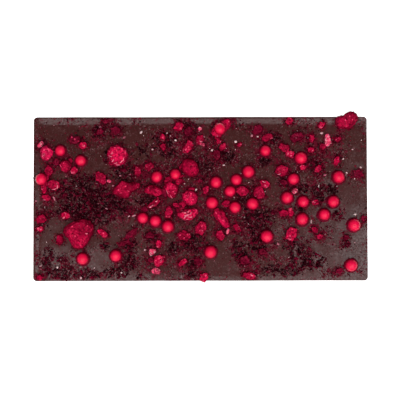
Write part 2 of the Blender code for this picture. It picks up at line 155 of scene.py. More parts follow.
DARK_BITS = (
    (75, 139.5, 12, 8.5, -5), (116, 130, 9, 7.5, 0), (56, 162, 7, 6.5, 0), (258, 129.5, 10, 7.5, 45),
    (297, 137, 13, 9, 20), (217, 155, 10, 7, 80), (144.5, 209.5, 7.5, 5.5, 0), (346, 237.5, 5, 4.5, 0),
    (363.3, 218.5, 7, 4.5, 90), (339, 271, 7, 5, 20), (359, 174, 9, 8, 0), (150, 236, 8.5, 6.5, 0),
    (198, 262, 8.5, 7, 0), (131, 234, 13, 5.5, 40), (124, 243, 13, 4.5, 20), (244.5, 260.5, 10, 8.5, 0),
    (262, 252, 7.5, 6.5, 0), (189, 131.5, 9, 7, 80), (165, 192, 9, 6, 80), (99.5, 131, 8, 7, 40),
    (284, 183, 7, 5.5, 0), (179, 207, 5.5, 4.5, 20), (129, 211, 5, 4, 0), (106, 121, 6, 4, 0),
    (200, 180.5, 5, 4, 30), (151, 260, 6, 5, 0),
)
PALE_BITS = (
    (40.8, 144.2, 7.5, 5, 40), (109, 181, 5, 3.2, -10), (152, 251.5, 8, 5.5, 50), (156, 270.8, 8.5, 6, -15),
    (294.8, 191, 5.5, 5, 40), (227.5, 231.5, 6, 3, 70), (328, 140, 12, 7, 85), (200, 128.5, 4, 3.5, 0),
    (202, 144, 6, 3, -15),
)

# The pieces that the bits are made as: their rows and their kind of fruit
BIT_GROUPS = {
    "crimson_bits": (CRIMSON_BITS, "craggy"),
    "bright_bits": (BRIGHT_BITS, "bright"),
    "burgundy_bits": (DARK_BITS, "deep"),
    "pale_bits": (PALE_BITS, "pale"),
}

# A bit's least height and most lean in degrees. Its block is made wider and taller than the bit, because
# smoothing takes some of it away. The block's middle lies at a share of the bit's height, and its corners are
# jolted by a share of the bit's width.
LEAST_BIT_HEIGHT = 1.1 * MM
BIT_LEAN = 9
BIT_OVERSIZE = 1.13
BIT_OVERHEIGHT = 1.35
BIT_MIDDLE = 0.42
BIT_JOLT = 0.24

# Drifts of dark crumbs in the photograph's pixels: x, y, half width, half height, number of crumbs
CRUMB_DRIFTS = (
    (82, 188, 24, 14, 150), (88, 203, 30, 12, 170), (112, 205, 16, 13, 90), (72, 213, 16, 7, 30),
    (122, 172, 12, 8, 30), (49, 254, 6, 7, 22), (61, 257, 5, 4, 9), (47, 265, 6, 4, 12),
    (64, 273, 16, 6, 26), (90, 273, 10, 5, 16), (116, 272, 14, 5, 18), (104, 246, 5, 4, 12),
    (131, 259, 6, 5, 16), (128, 267, 6, 3, 8), (131, 246, 7, 6, 16), (152, 236, 8, 4, 12),
    (173, 249, 6, 7, 18), (195, 243, 10, 9, 34), (193, 262, 8, 4, 10), (192, 274, 5, 3, 7),
    (97, 132, 6, 5, 14), (189, 130, 5, 7, 12), (164, 145, 12, 16, 24), (258, 218, 17, 12, 110),
    (257, 241, 10, 12, 50), (238, 249, 7, 8, 18), (243, 259, 7, 6, 12), (277, 271, 22, 6, 50),
    (307, 261, 17, 9, 56), (296, 247, 14, 9, 26), (346, 244, 4, 4, 12), (313, 165, 7, 7, 16),
    (302, 188, 8, 6, 14), (285, 182, 6, 5, 12), (319, 193, 6, 10, 16), (332, 191, 6, 6, 16),
    (339, 215, 5, 6, 9), (264, 160, 7, 5, 10), (276, 138, 6, 5, 12), (228, 155, 7, 6, 14),
    (105, 156, 4, 6, 8), (300, 208, 6, 3, 9), (205, 168, 9, 12, 12), (242, 200, 8, 6, 12),
    (140, 150, 14, 9, 14), (139, 276, 4, 3, 5), (46, 222, 8, 10, 10), (150, 200, 14, 6, 12),
    (98, 220, 12, 6, 36),
)

# Where the chocolate shows bare in the photograph's pixels: x, y, half width, half height
BARE_PATCHES = (
    (66, 131, 24, 8), (356, 148, 10, 26), (226, 271, 15, 9), (346, 256, 18, 12), (340, 120, 24, 6),
    (47, 240, 10, 14), (345, 197, 18, 10), (240, 138, 10, 8), (268, 185, 9, 14), (107, 238, 14, 9),
    (285, 252, 12, 6), (322, 250, 14, 8), (215, 262, 12, 8), (62, 247, 12, 6), (51, 227, 7, 8),
    (140, 156, 14, 8), (96, 168, 10, 6), (357, 239, 10, 13), (160, 158, 10, 5),
)

# How thickly fruit dust lies: everywhere, in clouds of a size in pixels, in the drifts and a margin round
# them, on the bare patches, and at the least
DUST_SHARE = 0.34
DUST_CLOUD_SIZE = 13
DUST_CLOUD_SHARE = 0.8
DUST_DRIFT_SHARE = 0.6
DRIFT_MARGIN = 5
DUST_BARE_SHARE = 0.10
DUST_LEAST = 0.05

# The bar's dustiest place in the photograph's pixels: x, y, half width, half height, added share
DUST_HEART = (190, 176, 66, 50, 0.48)

# Grains and small crumbs that are greyish, painted glints: their share of all, and the tint that marks them
# out from the others, whose tint is about 0 to 1
GLINT_SHARE = 0.10
GLINT_TINT = 2.0

# Pale seeds and sugar specks in the photograph's pixels: x, y, length, width, turn in degrees
PALE_SPECKS = (
    (124, 137, 3.2, 2, 40), (141, 132, 3.4, 2.2, 50), (152.5, 149, 2.4, 1.6, 0), (167, 133, 2.2, 1.8, 0),
    (170, 135, 3, 1.6, -50), (175.5, 140, 3.4, 2, -20), (204, 136.5, 2.4, 2, 0), (212, 150, 2.8, 2.2, 30),
    (236, 141.5, 3.4, 2.4, -40), (252, 135.5, 2.8, 2.4, 0), (258, 136.5, 2.2, 1.6, 0),
    (228.5, 152, 2, 1.6, 0), (224, 165, 2.4, 1.6, 20), (242, 199.5, 2.2, 1.6, 0), (196, 189.5, 2.4, 2, 0),
    (120, 175.5, 2.4, 1.8, 0), (130, 174, 2, 1.4, 0), (113, 185.5, 2.6, 1.8, 30),
    (106.5, 208.5, 2.4, 2.2, 0), (77, 185.5, 2.6, 2, 0), (36, 200.5, 2.2, 1.6, 0), (54, 198, 6, 1.6, -65),
    (129, 216, 3.4, 1.6, 40), (134, 215.5, 5, 1.8, 20), (145, 249.5, 2.6, 1.8, 60),
    (40.5, 265.5, 2.8, 1.8, 0), (57.5, 267, 2.6, 2, 40), (81, 277.5, 3.2, 2.2, 60),
    (278, 244, 3.6, 2.6, -40), (311.3, 221.5, 5, 1.1, 85), (311, 226, 3, 1, 100), (325, 175, 3.4, 2.4, 0),
    (319, 186, 4.2, 1.4, 75), (343.5, 159, 2.4, 1.8, 0), (353, 149.5, 2, 1.6, 0), (347, 173, 2.2, 1.8, 0),
    (361, 167.5, 2.2, 1.6, 0), (355, 214.5, 3, 2.2, 0), (244.5, 217.5, 2.8, 0.8, 80),
    (248.5, 223.5, 2.8, 0.8, 60), (259, 212, 2.4, 1, 20), (121.5, 272.5, 2, 1.6, 0),
    (100, 126.5, 3, 2.4, 0), (322, 133, 3.4, 2.6, 0),
)

# Pale pink curls and edges on the berry pieces, some of them painted highlights, in the photograph's pixels:
# x, y, length, width, turn
PALE_CURLS_AND_HIGHLIGHTS = (
    (111.5, 156.5, 5, 1.8, -10), (113.5, 160.5, 4, 1.6, 60), (118, 165, 5, 1.6, -5),
    (121.5, 162, 3.5, 1.5, 50), (186.5, 215.5, 5, 2.6, 10), (190.5, 213.8, 3.5, 2.2, 60),
    (189, 217, 3, 1.6, -20), (87.3, 233.5, 2.6, 2.2, 0), (167.5, 192.5, 4, 1.3, -65),
    (171.5, 197, 4.5, 1.3, -55), (57.5, 187, 5, 1.4, 85), (54.5, 189, 5.5, 1.3, 20),
    (251.5, 275, 3.6, 2.2, -40), (152.5, 205.5, 2.4, 1.8, 30), (84, 145.5, 3, 2.2, 20),
    (41, 228.8, 2.6, 1.8, 0), (328.5, 136, 3, 1.8, 80), (326.5, 142.5, 3, 1.4, 70),
    (264, 182, 4.5, 1.5, -20), (227.3, 230, 3.4, 1.6, 70), (64, 217.5, 2.6, 2, 40),
    (201, 141.5, 3, 1.4, -20), (279, 174.5, 3.6, 1.3, 15), (44.5, 199.5, 3, 1.4, -10),
    (185, 212.8, 3, 2.2, 0), (188.3, 211.8, 2.8, 2.2, 30), (184.8, 217.3, 3, 2.2, 60),
    (188, 214.6, 3.2, 2.6, 0), (191, 217.2, 2.6, 2, 20), (187.3, 219.2, 2.8, 1.8, 0),
    (112.5, 153.8, 3.4, 1.8, 30), (116.2, 163.2, 4, 1.8, 20), (123.5, 160, 4, 1.6, 70),
    (156.5, 201.2, 2.8, 1.8, 30), (150.5, 207, 3, 2, 20),
)

# Rosy specks on the berry pieces, painted highlights, in the photograph's pixels: x, y, length, width, turn
ROSY_HIGHLIGHTS = (
    (122.5, 149.5, 3.5, 2, -40), (125.5, 153, 3, 1.6, 80), (112.5, 152.5, 2.6, 1.6, 20),
    (117, 151, 2.2, 1.5, 0), (124, 158, 2.2, 1.6, 40), (115.5, 148, 2.6, 1.5, -20),
    (61.5, 166.5, 5, 1.2, -55), (64, 163, 3, 1.2, 50), (44.5, 150, 3, 1.8, 30),
    (48.5, 148.8, 2.6, 1.6, -40), (50.5, 153.5, 2.6, 1.6, 70), (45.5, 155.5, 2.4, 1.6, 0),
    (48, 158, 3, 1.8, -20), (43.5, 157.5, 2.2, 1.5, 40), (191, 194, 2.4, 1.8, 0), (187, 199, 2, 1.6, 40),
    (193, 200, 2.2, 1.6, 0), (189.5, 201.5, 2.2, 1.5, 20), (122, 193, 2.2, 1.6, 20),
    (129, 191.5, 1.8, 1.6, 0), (119, 190, 2, 1.5, 0), (126, 186.5, 2.2, 1.5, 30), (216, 213, 3.5, 1.4, -60),
    (219, 219, 3, 1.4, -55), (223, 221, 2.4, 1.4, -50), (180, 235, 2.2, 1.6, 0),
    (187.5, 234.5, 3, 1.4, -50), (184, 238, 1.8, 1.4, 0), (159.5, 258, 3.5, 2.4, 45),
    (279, 169, 2.6, 1.6, 80), (284, 170, 2.6, 1.8, 20), (157.5, 200, 2.4, 1.6, 30),
    (163, 137.5, 3, 1.6, 90), (188.5, 147, 3, 2, 50), (186, 149.5, 3, 1.6, 45), (75, 139, 2, 1.6, 0),
    (72, 137, 1.8, 1.5, 0), (78.5, 141, 1.8, 1.4, 0), (103.5, 233, 2.4, 1.8, -30),
    (291.5, 229.5, 2.6, 1.8, 40), (294, 235.5, 2.6, 1.6, 70), (327.5, 140, 3, 2, 0),
    (291, 153, 3, 1.8, -20), (290.5, 210, 1.8, 1.6, 0), (349.5, 117, 2, 1.6, 0), (345, 121, 2, 1.5, 40),
    (352, 120.5, 2, 1.4, 0), (321.5, 125, 2.2, 1.6, 60), (73, 226.5, 2, 1.6, 0), (81, 245, 2.2, 1.6, 20),
    (76, 236, 2, 1.5, 60), (88, 226, 2, 1.4, 0), (171, 186.5, 2.4, 1.5, 60), (173.5, 192, 2.2, 1.5, 0),
    (202, 226, 2.6, 1.6, 60), (200, 230.5, 2.4, 1.6, 30), (243, 190.5, 2.4, 1.8, 0),
    (205.5, 275.5, 3, 2, 50), (160.5, 262, 2.6, 1.6, 0), (38.5, 144.5, 2.4, 1.6, 40),
)


class BarSizes(bpy.types.PropertyGroup):
    """Sizes of the bar and of what is strewn on it."""

    field_height: FloatProperty(
        name="Thickness", description="Height of the poured field", default=7.0 * MM, unit="LENGTH")
    wall_lean: FloatProperty(
        name="Wall lean", description="How far the walls lean in at the foot", default=0.7 * MM,
        unit="LENGTH")
    corner_radius: FloatProperty(
        name="Corner radius", description="Radius of the upright corners", default=1.3 * MM, unit="LENGTH")
    foot_round: FloatProperty(
        name="Foot rounding", description="Rounding under the walls", default=0.5 * MM, unit="LENGTH")
    lip_round: FloatProperty(
        name="Lip rounding", description="Rounding over the walls", default=0.35 * MM, unit="LENGTH")
    rim_rise: FloatProperty(
        name="Rim rise", description="Height of the rim over the field", default=0.5 * MM, unit="LENGTH")
    rim_width: FloatProperty(
        name="Rim width", description="Distance from the edge to the field", default=3.8 * MM, unit="LENGTH")
    near_fall: FloatProperty(
        name="Near fall", description="How far the near side and the right end sink below the field",
        default=0.15 * MM, unit="LENGTH")
    wave: FloatProperty(
        name="Pouring waves", description="Unevenness of the poured field", default=0.26 * MM, unit="LENGTH")
    cut_spacing: FloatProperty(
        name="Face size", description="Spacing of the cuts through the slab", default=1.1 * MM, unit="LENGTH")
    pearl_lift: FloatProperty(
        name="Pearl lift", description="Height of a pearl's middle, in radii", default=0.76, min=0, max=1)
    bit_height: FloatProperty(
        name="Bit height", description="Height of a bit, as a share of its width", default=0.42, min=0, max=1)
    berry_grain: FloatProperty(
        name="Berry grain", description="Face size of the berry pieces", default=0.22 * MM, unit="LENGTH")
    dust_count: IntProperty(
        name="Dust", description="Number of dust grains", default=9800, min=0)
    drift_density: FloatProperty(
        name="Drift density", description="Dark crumbs tried for each one that the drifts list", default=2.0,
        min=0)
    crumb_count: IntProperty(
        name="Stray crumbs", description="Number of crimson crumbs all over the bar", default=4500, min=0)
    collar_width: FloatProperty(
        name="Collar width", description="How far the chocolate climbs out round a pearl", default=1.4 * MM,
        unit="LENGTH")


class BarColours(bpy.types.PropertyGroup):
    """Colours of the chocolate, the pearls and the fruit."""

    chocolate: FloatVectorProperty(
        name="Chocolate", description="Deep brown", subtype="COLOR", size=3, default=(0.044, 0.0072, 0.0066))
    chocolate_light: FloatVectorProperty(
        name="Light chocolate", description="Cloudy brown", subtype="COLOR", size=3,
        default=(0.054, 0.0104, 0.0096))
    pearl: FloatVectorProperty(
        name="Pearl", description="Sugar coating", subtype="COLOR", size=3, default=(0.83, 0.0055, 0.056))
    pearl_light: FloatVectorProperty(
        name="Light pearl", description="Worn coating", subtype="COLOR", size=3, default=(0.89, 0.010, 0.078))
    berry: FloatVectorProperty(
        name="Berry", description="Crimson fruit", subtype="COLOR", size=3, default=(0.37, 0.0013, 0.032))
    berry_bright: FloatVectorProperty(
        name="Bright berry", description="Pinkish red fruit", subtype="COLOR", size=3,
        default=(0.62, 0.0045, 0.062))
    berry_dark: FloatVectorProperty(
        name="Dark berry", description="Burgundy fruit", subtype="COLOR", size=3,
        default=(0.130, 0.0016, 0.016))
    berry_pale: FloatVectorProperty(
        name="Pale berry", description="Pink flesh", subtype="COLOR", size=3, default=(0.90, 0.18, 0.30))
    # Also the painted shade between the piled crumbs in the drifts
    crumb_black_and_shade: FloatVectorProperty(
        name="Black crumb", description="Darkest crumbs", subtype="COLOR", size=3,
        default=(0.018, 0.0008, 0.003))
    stain: FloatVectorProperty(
        name="Stain", description="Chocolate under fruit dust", subtype="COLOR", size=3,
        default=(0.112, 0.0030, 0.0150))
    seed: FloatVectorProperty(
        name="Seed", description="Pale seeds and sugar", subtype="COLOR", size=3, default=(0.90, 0.66, 0.66))
    # Dull light flecks that stand for glints: painted glints
    glint_dull: FloatVectorProperty(
        name="Frost", description="Dull light flecks on the crumbs", subtype="COLOR", size=3,
        default=(0.170, 0.062, 0.074))
    # Greyish flecks that stand for sparkle of sheen: painted glints
    glint_grey: FloatVectorProperty(
        name="Bloom", description="Greyish flecks on the chocolate", subtype="COLOR", size=3,
        default=(0.170, 0.082, 0.086))


class StageSettings(bpy.types.PropertyGroup):
    """Camera, lights and floor."""

    distance: FloatProperty(
        name="Camera distance", description="Camera to bar", default=0.70, unit="LENGTH")
    tilt: FloatProperty(
        name="Camera tilt", description="Lean from straight down", default=math.radians(2.9), unit="ROTATION")
    roll: FloatProperty(
        name="Camera roll", description="Turn in the picture", default=math.radians(-0.12), unit="ROTATION")
    key_power: FloatProperty(name="Key light", description="Power of the soft key", default=4.2, min=0)
    top_power: FloatProperty(name="Top light", description="Power of the light overhead", default=12.8, min=0)
    panel_power: FloatProperty(
        name="Sheen panels", description="Power of the panels that the chocolate mirrors", default=5.5, min=0)
    surround: FloatProperty(name="Surround", description="Strength of the pale room", default=0.05, min=0)


def sizes():
    """The scene's size settings."""
    return bpy.context.scene.chocolate_bar_sizes


def colours():
    """The scene's colour settings."""
    return bpy.context.scene.chocolate_bar_colours


def on_bar(pixel_x, pixel_y):
    """The place on the bar that a pixel of the photograph shows."""
    left, top, right, bottom = BAR_IN_PHOTO
    across = BAR_WIDTH / (bottom - top)
    return Vector(((pixel_x - (left + right) / 2) * PIXEL, ((top + bottom) / 2 - pixel_y) * across))


def in_photo(place):
    """The pixel of the photograph that shows a place on the bar."""
    left, top, right, bottom = BAR_IN_PHOTO
    return place[0] / PIXEL + (left + right) / 2, (top + bottom) / 2 - place[1] * (bottom - top) / BAR_WIDTH


def drifting(place):
    """How deep in the drifts of dark crumbs a place on the bar lies, from 0 up."""
    x, y = in_photo(place)
    depth = 0.0
    for middle_x, middle_y, half_width, half_height, number in CRUMB_DRIFTS:
        along = (x - middle_x) / (half_width + DRIFT_MARGIN)
        across = (y - middle_y) / (half_height + DRIFT_MARGIN)
        depth += max(0.0, 1 - math.hypot(along, across))
    return depth


def dusting(place):
    """How thickly fruit dust lies at a place on the bar, from 0 to 1."""
    x, y = in_photo(place)
    cloud = noise.noise(Vector((x / DUST_CLOUD_SIZE, y / DUST_CLOUD_SIZE, 0.5)))
    share = DUST_SHARE + DUST_CLOUD_SHARE * cloud + DUST_DRIFT_SHARE * drifting(place)
    heart_x, heart_y, half_width, half_height, added = DUST_HEART
    share += added * math.exp(-((x - heart_x) / half_width) ** 2 - ((y - heart_y) / half_height) ** 2)
    for middle_x, middle_y, half_width, half_height in BARE_PATCHES:
        reach = math.hypot((x - middle_x) / half_width, (y - middle_y) / half_height)
        share *= min(1.0, DUST_BARE_SHARE + 0.9 * max(0.0, reach - 0.4))
    return min(1.0, max(DUST_LEAST, share))


def anywhere(chance):
    """A place drawn from all over the bar."""
    return Vector((chance.uniform(-BAR_LENGTH, BAR_LENGTH), chance.uniform(-BAR_WIDTH, BAR_WIDTH))) / 2


class Wire:
    """A socket of a finish's nodes that can be reckoned with like a number."""

    def __init__(self, finish, socket):
        self.finish = finish
        self.socket = socket

    def reckon(self, operation, *values):
        """One Math node."""
        return self.finish.node("ShaderNodeMath", {"operation": operation}, dict(enumerate(values)))

    def __add__(self, other):
        return self.reckon("ADD", self, other)

    __radd__ = __add__

    def __sub__(self, other):
        return self.reckon("SUBTRACT", self, other)

    def __rsub__(self, other):
        return self.reckon("SUBTRACT", other, self)

    def __mul__(self, other):
        return self.reckon("MULTIPLY", self, other)

    __rmul__ = __mul__


class Finish:
    """A Principled material in the making, whose patterns lie in the bar's own space."""

    def __init__(self, name, constants=()):
        self.material = bpy.data.materials.new(name)
        self.material.use_nodes = True
        self.tree = self.material.node_tree
        self.shader = self.tree.nodes["Principled BSDF"]
        for socket, value in dict(constants).items():
            self.shader.inputs[socket].default_value = value
        self.place = self.node("ShaderNodeTexCoord", output="Object")

    def node(self, kind, settings=(), sockets=(), output=0):
        """A node with its settings made first and its sockets filled or linked, as a wire from one output."""
        made = self.tree.nodes.new(kind)
        for key, value in dict(settings).items():
            setattr(made, key, value)
        for key, value in dict(sockets).items():
            if isinstance(value, Wire):
                self.tree.links.new(value.socket, made.inputs[key])
            else:
                made.inputs[key].default_value = value
        return Wire(self, made.outputs[output])

    def noise(self, size, detail=2.0, roughness=0.5, seed=0.0):
        """Cloudy pattern from 0 to 1 with features of a size in metres."""
        values = {
            "Vector": self.place, "W": seed, "Scale": 1 / size, "Detail": detail, "Roughness": roughness,
        }
        return self.node("ShaderNodeTexNoise", {"noise_dimensions": "4D"}, values)

    def flecks(self, low, high):
        """Fine flecks from 0 to 1, in the same places on the chocolate and on what is strewn on it."""
        return self.between(self.noise(0.75 * MM, 3.0, 0.7, seed=17.0), low, high)

    def cells(self, size):
        """Distance from 0 to about 1 to the middles of cells of a size in metres."""
        return self.node("ShaderNodeTexVoronoi", {}, {"Vector": self.place, "Scale": 1 / size})

    def between(self, value, low, high):
        """0 below low, 1 above high and a smooth step between."""
        values = {"Value": value, "From Min": low, "From Max": high}
        return self.node("ShaderNodeMapRange", {"interpolation_type": "SMOOTHSTEP"}, values)

    def blend(self, share, first, second):
        """One colour going over to another."""
        values = {0: share, 6: self.colour(first), 7: self.colour(second)}
        return self.node("ShaderNodeMix", {"data_type": "RGBA"}, values, 2)

    def height(self):
        """Height over the underside in metres."""
        return self.node("ShaderNodeSeparateXYZ", {}, {"Vector": self.place}, 2)

    def attribute(self, name):
        """A number that the mesh carries."""
        return self.node("ShaderNodeAttribute", {"attribute_name": name}, output="Fac")

    def colour(self, value):
        """A wire as it is, and a plain colour with its alpha."""
        return value if isinstance(value, Wire) else (*value[:3], 1.0)

    def feed(self, socket, wire):
        """Links a wire to the shader."""
        self.tree.links.new(wire.socket, self.shader.inputs[socket])

    def bump(self, height, distance, strength=1.0):
        """Fine relief whose height from 0 to 1 stands for a distance in metres."""
        values = {"Height": height, "Distance": distance, "Strength": strength}
        self.feed("Normal", self.node("ShaderNodeBump", {}, values))


def chocolate_finish():
    """Set dark chocolate: cloudy brown with a satin skin and painted glints, dull and red where fruit dust
    sticks to it and where shade is painted.
    """
    finish = Finish("dark_chocolate", {"Specular IOR Level": 0.02, "Coat Roughness": 0.16, "Coat IOR": 1.46})
    cloud = finish.noise(15 * MM, 3.0)
    mottle = finish.noise(2.6 * MM, 4.0, 0.6, seed=3.0)
    grain = finish.noise(0.5 * MM, 3.0, 0.6, seed=5.0)
    tone = finish.between(0.55 * cloud + 0.45 * mottle, 0.36, 0.66)
    brown = finish.blend(tone, colours().chocolate, colours().chocolate_light)

    # The poured face alone has a film of fruit dust, thicker where dust is strewn, and thicker beside the
    # fruit as stain and painted shade
    thick = finish.attribute("dusting")
    flour = finish.noise(1.5 * MM, 4.0, 0.75, seed=11.0)
    poured = finish.between(finish.height(), 6.3 * MM, 6.8 * MM)
    # Halo is the closeness of fruit; it thickens the dark red film as stain and painted shade round the
    # pieces
    halo = poured * finish.attribute("halo")
    film = poured * finish.between(flour + 0.20 * (thick - 0.5) + 0.16 * halo, 0.505, 0.575)

    # The film is red with clotted dark patches, and nearly black in the drifts: painted shade between the
    # piled crumbs
    clots = finish.noise(1.3 * MM, 3.0, 0.7, seed=13.0)
    deep = 0.04 * thick + 0.14 * finish.between(finish.attribute("drift"), 0.1, 1.0)
    red = finish.blend(finish.between(clots - deep, 0.38, 0.50), colours().crumb_black_and_shade, colours().stain)

    # Greyish flecks, painted glints of sheen, lie on the bare chocolate and on the film, less so beside the
    # fruit
    glint_grey = finish.flecks(0.55, 0.61)
    glinted = glint_grey * (0.15 + poured * (0.10 + 0.65 * thick)) * (1.0 - halo)
    skin = finish.blend(glinted, brown, colours().glint_grey)
    glint_flecked = finish.blend(glint_grey * (0.75 - 0.55 * halo), red, colours().glint_dull)

    # The satin sheen is patchy, and the film takes it away
    glow = finish.between(finish.noise(0.9 * MM, 2.0, 0.6, seed=19.0), 0.38, 0.62)
    finish.feed("Base Color", finish.blend(film * 0.94, skin, glint_flecked))
    finish.feed("Coat Weight", (1.0 - film) * (0.10 + 0.50 * poured + 0.65 * glow) * (1.0 - 0.5 * halo))
    finish.feed("Roughness", 0.5 + 0.15 * mottle + 0.1 * grain)
    finish.bump(0.4 * mottle + 0.2 * grain + 0.4 * film, 0.12 * MM, 0.6)
    return finish.material


def collar_finish():
    """Chocolate round the pearls in dark crimson: painted shadow and painted red reflection of the pearl,
    with some stain.
    """
    finish = Finish("stained_chocolate", {"Specular IOR Level": 0.02, "Roughness": 0.6})
    mottle = finish.noise(1.2 * MM, 3.0, 0.6, seed=3.0)
    share = finish.between(mottle, 0.25, 0.60)
    # Dark crimson mottle: painted shadow and painted red reflection of the pearls
    finish.feed("Base Color", finish.blend(share, 0.5 * Vector(colours().stain), colours().berry_dark))
    finish.bump(mottle, 0.08 * MM, 0.5)
    return finish.material


def pearl_finish():
    """Smooth red sugar coating with a soft shine, lighter where it is worn, and darker down its sides as
    painted shade.
    """
    finish = Finish("pearl_sugar", {"Specular IOR Level": 0.15})
    patch = finish.noise(2.4 * MM, 3.0, seed=2.0)
    speckle = finish.noise(0.35 * MM, 2.0, seed=4.0)
    worn = finish.between(0.7 * patch + 0.3 * speckle, 0.42, 0.66)
    top = finish.blend(worn, colours().pearl, colours().pearl_light)
    # Sides that look away from above are darkened: painted shade
    upward = finish.between(finish.attribute("upward"), 0.3, 0.95)
    finish.feed("Base Color", finish.blend(upward, 0.50 * Vector(colours().pearl), top))
    finish.feed("Roughness", 0.16 + 0.08 * speckle)
    finish.bump(0.6 * patch + 0.4 * speckle, 0.06 * MM, 0.45)
    return finish.material


def berry_finish(kind):
    """Dry freeze-dried fruit, made once for each kind: painted shade in its gaps and down its sides, painted
    rosy highlights, pale flecks.
    """
    made = bpy.data.materials.get(f"berry_{kind}")
    if made:
        return made
    tone, pale_share, drupelet, depth = FRUIT_KINDS[kind]
    crimson = Vector(colours().berry)
    body = crimson.lerp(Vector(colours().berry_bright if tone > 0 else colours().berry_dark), abs(tone))
    fleck_colour = colours().berry_pale
    if kind == "pale":
        body, fleck_colour = body.lerp(Vector(fleck_colour), 0.24), colours().seed
    finish = Finish(f"berry_{kind}", {"Specular IOR Level": 0.015})

    # The body colour is darkened in the hollows between the drupelets as painted shade, and rosy in patches
    # as painted highlights
    domes = finish.cells(drupelet)
    crust = finish.noise(1.1 * MM, 4.0, 0.75, seed=1.0)
    broad = finish.noise(2.4 * MM, 2.0, 0.5, seed=2.0)
    glint_dull = finish.noise(0.8 * MM, 3.0, 0.7, seed=9.0)
    hollow = finish.between(0.4 * domes + 2.6 * (crust - 0.5) + 0.6 * (broad - 0.5), 0.10, 0.65)
    lit = finish.between(0.25 * broad + 0.75 * glint_dull, 0.47, 0.57)
    highlight_pink = [min(1.0, 1.9 * part + 0.007) for part in body]
    skin = finish.blend(hollow, finish.blend(lit, 1.25 * body, highlight_pink), 0.34 * body)

    # It darkens down the sides and near the chocolate as painted shade, and in some broad patches
    risen = finish.between(finish.height(), 7.0 * MM, 8.0 * MM)
    facing = finish.between(finish.attribute("upward"), 0.1, 0.95)
    tuft = finish.between(finish.noise(4.5 * MM, 1.0, 0.5, seed=12.0), 0.36, 0.60)
    light_and_tone = (0.2 + 0.8 * facing) * (0.4 + 0.6 * risen) * (0.55 + 0.45 * tuft)
    skin = finish.blend(light_and_tone, 0.26 * body, skin)

    # Paler kinds have more flecks, and stronger ones
    speckle = finish.noise(1.1 * MM, 3.0, 0.65, seed=7.0)
    limit = 0.65 - 0.10 * pale_share
    cover = 0.25 + 0.6 * pale_share * (1.35 - 0.8 * pale_share)
    fleck = finish.between(speckle, limit, limit + 0.08)
    finish.feed("Base Color", finish.blend(fleck * cover, skin, fleck_colour))
    finish.feed("Roughness", 0.62 + 0.3 * crust)
    finish.bump(0.6 * crust + 0.4 * (1.0 - domes), depth, 0.7)
    return finish.material


def note_upward(piece):
    """Notes on each point of a piece how far its surface looks up, from -1 to 1, for the painted shade down
    its sides.
    """
    upward = [vert.normal.z for vert in piece.data.vertices]
    piece.data.attributes.new("upward", "FLOAT", "POINT").data.foreach_set("value", upward)


def strewn_finish(name, dark, light, shine=0.2, glint_flecked=False):
    """Finish of many small grains, tinted from dark to light. Glint-flecked ones have painted glints: dull
    light flecks, and greyish grains where the tint marks them.
    """
    finish = Finish(name, {"Specular IOR Level": shine})
    crust = finish.noise(0.4 * MM, 3.0, 0.6)
    tint = finish.attribute("tint")
    skin = finish.blend(finish.between(tint + 0.5 * (crust - 0.5), 0.0, 1.0), dark, light)
    if glint_flecked:
        # Dull light flecks: painted glints
        skin = finish.blend(0.7 * finish.flecks(0.56, 0.62), skin, colours().glint_dull)
        # Grains with the glint tint are greyish: painted glints
        pale = finish.between(tint, GLINT_TINT - 0.6, GLINT_TINT - 0.4)
        skin = finish.blend(pale, skin, 1.1 * Vector(colours().glint_grey))
    finish.feed("Base Color", skin)
    finish.feed("Roughness", 0.5 + 0.25 * crust)
    finish.bump(crust, 0.08 * MM, 0.5)
    return finish.material


def deselect_all():
    """Leaves nothing selected."""
    for chosen in bpy.context.selected_objects:
        chosen.select_set(False)


def make_active(piece):
    """Selects one piece and nothing else."""
    deselect_all()
    bpy.context.view_layer.objects.active = piece
    piece.select_set(True)


def put_in_scene(name, data):
    """A new object in the scene for a mesh, a lamp or a camera."""
    made = bpy.data.objects.new(name, data)
    bpy.context.scene.collection.objects.link(made)
    return made


def add_primitive(kind, name, **settings):
    """Adds one of the primitives as a new piece."""
    deselect_all()
    getattr(bpy.ops.mesh, f"primitive_{kind}_add")(**settings)
    piece = bpy.context.active_object
    piece.name = piece.data.name = name
    return piece


def add_to(piece, kind, name, **settings):
    """Adds a primitive to the piece in edit mode, or begins the piece with it, and leaves it selected."""
    if piece:
        getattr(bpy.ops.mesh, f"primitive_{kind}_add")(**settings)
        return piece
    piece = add_primitive(kind, name, **settings)
    bpy.ops.object.transform_apply(location=True, rotation=True, scale=True)
    bpy.ops.object.mode_set(mode="EDIT")
    bpy.ops.mesh.select_all(action="SELECT")
    return piece


def pick(kind, test):
    """Selects the verts, edges or faces of the piece in edit mode that pass a test, and nothing else."""
    bpy.ops.mesh.select_mode(type={"verts": "VERT", "edges": "EDGE", "faces": "FACE"}[kind])
    bpy.ops.mesh.select_all(action="DESELECT")
    mesh = bpy.context.edit_object.data
    for part in getattr(bmesh.from_edit_mesh(mesh), kind):
        if test(part):
            part.select_set(True)
    bmesh.update_edit_mesh(mesh)


def apply_modifier(piece, kind, **settings):
    """Adds a modifier with its settings and applies it."""
    make_active(piece)
    modifier = piece.modifiers.new(kind.title(), kind)
    for key, value in settings.items():
        setattr(modifier, key, value)
    bpy.ops.object.modifier_apply(modifier=modifier.name)


def relief(piece, pattern, size, depth, group="", middle=0.5, **pattern_settings):
    """Moves a piece's surface in and out in a pattern with features of a size."""
    texture = bpy.data.textures.new(f"{piece.name}_{pattern.lower()}", pattern)
    texture.noise_scale = size
    for key, value in pattern_settings.items():
        setattr(texture, key, value)
    apply_modifier(piece, "DISPLACE", texture=texture, texture_coords="LOCAL", strength=depth,
                   mid_level=middle, vertex_group=group)
    bpy.data.textures.remove(texture)


